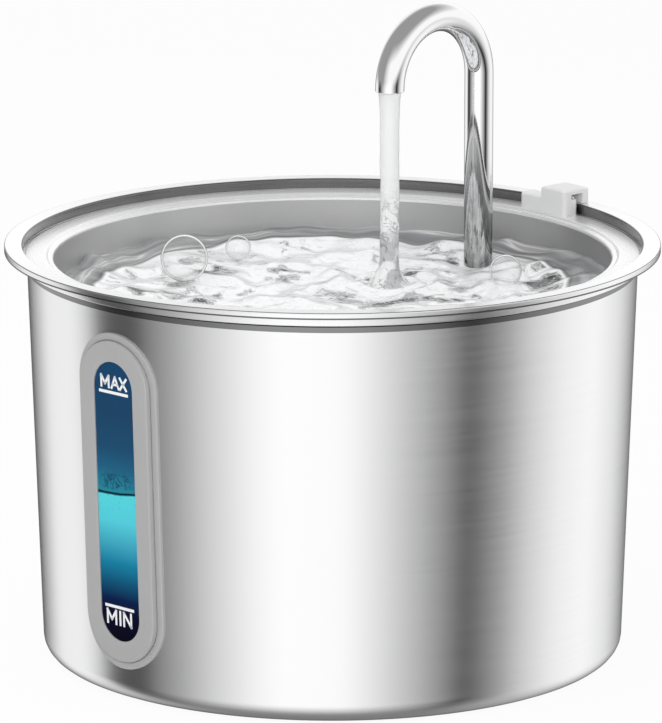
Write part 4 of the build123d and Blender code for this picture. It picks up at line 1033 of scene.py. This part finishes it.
def makePoolMaterial(look):
    # churned water: white, with bent grey hollows of painted shade, fine lines of painted reflection and painted
    # highlight, and clear water along the wall painted as grey streaks
    material, shader, tree = newMaterial("poolWater", Roughness=0.05, IOR=1.33)
    x, y = objectPlace(tree)[1:3]
    place = combined(tree, x, y)
    radius, alongX, alongY = roundPlace(tree, x, y)
    moved = place
    for scale, amount in look["bends"]:
        shift = noiseNode(tree, place, scale, 2.0, output="Color")
        shift = vectorNode(tree, "MULTIPLY_ADD", shift, (amount, amount, 0.0), (-amount / 2, -amount / 2, 0.0))
        moved = vectorNode(tree, "ADD", moved, shift)
    swirl = noiseNode(tree, moved, *look["swirl"])
    # each hollow lifts the bent noise into the darker greys of painted shade, so that its edge and its inner lines
    # follow the noise's contours
    lifted = mathNode(tree, "MULTIPLY_ADD", swirl, look["swirlSpread"], 0.5 - 0.5 * look["swirlSpread"])
    for middleX, middleY, wide, deep, lift in look["shadedHollows"]:
        spot = tree.nodes.new("ShaderNodeMapping")
        spot.vector_type = "TEXTURE"
        spot.inputs["Location"].default_value = (middleX * mm, middleY * mm, 0)
        spot.inputs["Rotation"].default_value = (0, 0, math.radians(look["hollowTurn"]))
        spot.inputs["Scale"].default_value = (wide * mm, deep * mm, 1)
        link(tree, moved, spot.inputs["Vector"])
        away = vectorNode(tree, "LENGTH", spot.outputs["Vector"])
        near = mathNode(tree, "SUBTRACT", look["hollowEdge"], away, clamp=True)
        lifted = mathNode(tree, "MULTIPLY_ADD", near, lift, lifted)
    color = rampNode(tree, [(at, (grey, grey * 1.01, grey * 1.02)) for at, grey in look["tones"]], lifted)
    for numbers, strength, lineColor in look["paintedRippleLines"]:
        ripple, line = placeLines(material, moved, *numbers)
        color = mixColors(tree, product(tree, line, strength), color, lineColor)
    # the clear water along the wall: grey streaks of painted shade and reflection
    around = combined(tree, alongX, alongY, product(tree, radius, look["streakPitch"]))
    moat = rampNode(tree, look["streakTones"], noiseNode(tree, around, *look["streaks"]))
    wander = mathNode(tree, "SUBTRACT", noiseNode(tree, place, look["wanderNoise"], 1.0), 0.5)
    edge = mathNode(tree, "MULTIPLY_ADD", wander, look["wander"], radius)
    out = mathNode(tree, "DIVIDE", mathNode(tree, "SUBTRACT", edge, look["moatFrom"]), look["moatOver"])
    color = mixColors(tree, mathNode(tree, "ADD", out, 0.0, clamp=True), color, moat)
    for at, halfWidth, strength, grey in look["moatLines"]:
        color = mixColors(tree, product(tree, lineAt(tree, out, at, halfWidth), strength), color, grey)
    link(tree, color, shader.inputs["Base Color"])
    addBump(tree, shader, mathNode(tree, "MULTIPLY_ADD", ripple, look["rippleRelief"], swirl), *look["relief"])
    return material


def makeStreamMaterial(look):
    # bright falling water, with painted reflection where it breaks up: grey blots and dark bent lines
    material, shader, tree = newMaterial("streamWater", Roughness=0.03, IOR=1.33, Transmission_Weight=0.12)
    coords, _, _, z = objectPlace(tree)
    low = spread(tree, z, look["from"], -look["over"])
    blots = spread(tree, noiseNode(tree, coords, *look["blots"]), look["blotsFrom"], look["blotsOver"])
    ripple, line = placeLines(material, coords, *look["lines"])
    color = mixColors(tree, product(tree, blots, low, look["blotsStrength"]), look["color"], look["blotsColor"])
    color = mixColors(tree, product(tree, line, low, look["linesStrength"]), color, look["linesColor"])
    link(tree, color, shader.inputs["Base Color"])
    addBump(tree, shader, product(tree, ripple, low), *look["relief"])
    return material


def makeBubbleMaterial(look):
    # a film that thickens towards its outline, with a painted dark line outside a painted highlight
    material, shader, tree = newMaterial("bubbleFilm", Roughness=0.02, IOR=1.33)
    weight = tree.nodes.new("ShaderNodeLayerWeight")
    weight.inputs["Blend"].default_value = 0.5
    link(tree, rampNode(tree, look["alpha"], weight.outputs["Facing"]), shader.inputs["Alpha"])
    link(tree, rampNode(tree, look["film"], weight.outputs["Facing"]), shader.inputs["Base Color"])
    return material


bubbleFilm = makeBubbleMaterial(bubbleLook)
makePool(poolSizes, makePoolMaterial(poolLook))
makeStream(streamSizes, makeStreamMaterial(streamLook))
for bubble in bubbleSizes:
    makeBubble(*bubble, bubbleFilm)
print("water made")


studio = {
    "cameraAzimuth": 44.2, "cameraElevation": 13.91, "cameraDistance": 2.2, "pixelsPerMetre": 3102.6, "sensor": 36.0,
    "imageWidth": 662, "imageHeight": 723, "middleX": 332.5, "middleY": 446.0, "aimHeight": 0.067,
    "clip": (0.05, 50.0),
    # grey that stands this many degrees round from the camera, to its right, near the horizon
    "bands": ((-180, 0.08), (-166, 0.08), (-150, 0.52), (-137, 0.96), (-116, 1.0), (-106, 0.70), (-99, 0.14),
              (-92, 0.05), (-80, 0.07), (-74, 0.24), (-61, 0.47), (-50, 0.72), (-41, 0.88), (-31, 1.08),
              (-20, 1.20), (4, 1.16), (13, 0.98), (22, 0.76), (31, 0.54), (41, 0.31), (47, 0.16), (52, 0.02),
              (56, 0.02), (61, 0.12), (70, 0.31), (81, 0.64), (98, 0.94), (118, 1.06), (139, 0.82), (155, 0.42),
              (168, 0.12)),
    # and well above it
    "upper": ((-180, 1.1), (-158, 0.9), (-140, 0.36), (-60, 0.33), (-38, 0.75), (-15, 1.05), (60, 1.05),
              (120, 1.05)),
    "upperFrom": -0.12, "upperOver": 0.15, "zenithFrom": 0.4, "zenithOver": 0.4, "zenith": 0.34,
    "nadirFrom": -0.45, "nadirOver": -0.5, "nadir": 0.22,
    # soft square lamps: place, size and power, and the height that they point at
    "lamps": (("overheadLamp", (-0.3, -0.4, 1.5), 1.4, 10.5), ("frontLamp", (0.95, -1.25, 0.75), 1.1, 8.5)),
    "lampAim": (0.0, 0.0, 0.06), "floorGlow": 0.94, "floorTone": 0.9, "floorReach": 20.0, "floorDrop": 0.0001,
}


def makeCamera(s):
    camera = bpy.data.objects.new("camera", bpy.data.cameras.new("camera"))
    bpy.context.scene.collection.objects.link(camera)
    a, e = math.radians(s["cameraAzimuth"]), math.radians(s["cameraElevation"])
    back = Vector((math.sin(a) * math.cos(e), -math.cos(a) * math.cos(e), math.sin(e)))
    target = Vector((0, 0, s["aimHeight"]))
    camera.location = target + back * s["cameraDistance"]
    focal = s["pixelsPerMetre"] * s["cameraDistance"]
    camera.data.sensor_fit = "HORIZONTAL"
    camera.data.sensor_width = s["sensor"]
    camera.data.lens = focal / s["imageWidth"] * s["sensor"]
    right = Vector((math.cos(a), math.sin(a), 0))
    up = right.cross(-back)
    # aim so that the target falls where it should in the frame
    offX = (s["middleX"] - s["imageWidth"] / 2) / focal
    offY = (s["middleY"] - s["imageHeight"] / 2) / focal
    look = (-back - right * offX + up * offY).normalized()
    camera.rotation_mode = "QUATERNION"
    camera.rotation_quaternion = look.to_track_quat("-Z", "Y")
    camera.data.clip_start, camera.data.clip_end = s["clip"]
    bpy.context.scene.camera = camera


def makeWorld(s):
    # greys by direction: two rings, blended up to the zenith and down to the nadir; the camera sees plain white
    world = bpy.data.worlds.new("studio")
    bpy.context.scene.world = world
    world.use_nodes = True
    tree = world.node_tree
    coords = tree.nodes.new("ShaderNodeTexCoord")
    parts = tree.nodes.new("ShaderNodeSeparateXYZ")
    link(tree, coords.outputs["Generated"], parts.inputs[0])
    x, y, z = parts.outputs
    angle = mathNode(tree, "SUBTRACT", mathNode(tree, "ARCTAN2", y, x), math.radians(s["cameraAzimuth"] - 90))
    share = mathNode(tree, "FRACT", mathNode(tree, "ADD", mathNode(tree, "DIVIDE", angle, math.tau), 0.5))
    rings = []
    for name in ("bands", "upper"):
        stops = [((turned + 180) / 360, grey) for turned, grey in s[name]]
        rings.append(rampNode(tree, stops + [(1.0, stops[0][1])], share))
    color = rings[0]
    blends = ((s["upperFrom"], s["upperOver"], rings[1]), (s["zenithFrom"], s["zenithOver"], s["zenith"]),
              (s["nadirFrom"], s["nadirOver"], s["nadir"]))
    for fromHeight, over, target in blends:
        color = mixColors(tree, spread(tree, z, fromHeight, over), color, target)
    path = tree.nodes.new("ShaderNodeLightPath")
    seen = mathNode(tree, "MAXIMUM", path.outputs["Is Camera Ray"], path.outputs["Is Transmission Ray"])
    link(tree, mixColors(tree, seen, color, 1.0), tree.nodes["Background"].inputs["Color"])


def makeFloor(s):
    # a pale plane that glows towards the camera alone, and keeps the object's shadow
    material, shader, tree = newMaterial("paleFloor", Roughness=0.9, Specular_IOR_Level=0.0)
    shader.inputs["Base Color"].default_value = (*(s["floorTone"],) * 3, 1)
    glow = tree.nodes.new("ShaderNodeEmission")
    glow.inputs["Color"].default_value = (1, 1, 1, 1)
    blend = tree.nodes.new("ShaderNodeMixShader")
    path = tree.nodes.new("ShaderNodeLightPath")
    link(tree, product(tree, path.outputs["Is Camera Ray"], s["floorGlow"]), blend.inputs["Fac"])
    link(tree, shader.outputs[0], blend.inputs[1])
    link(tree, glow.outputs[0], blend.inputs[2])
    link(tree, blend.outputs[0], tree.nodes["Material Output"].inputs["Surface"])
    corners = np.array([(-1, -1, 0), (1, -1, 0), (1, 1, 0), (-1, 1, 0)]) * s["floorReach"]
    points = corners + (0, 0, cadLow.z - s["floorDrop"])
    floor = addPiece("floor", points, [(0, 1, 2, 3)], material, smooth=False)
    floor.visible_glossy = False


def makeLamp(name, place, size, power):
    lamp = bpy.data.objects.new(name, bpy.data.lights.new(name, "AREA"))
    bpy.context.scene.collection.objects.link(lamp)
    lamp.data.energy = power
    lamp.data.size = size
    lamp.location = place
    lamp.rotation_mode = "QUATERNION"
    lamp.rotation_quaternion = (Vector(studio["lampAim"]) - lamp.location).to_track_quat("-Z", "Y")
    lamp.visible_glossy = False


makeCamera(studio)
makeWorld(studio)
makeFloor(studio)
for lamp in studio["lamps"]:
    makeLamp(*lamp)
bpy.context.scene.view_settings.view_transform = "Standard"
print("studio made")
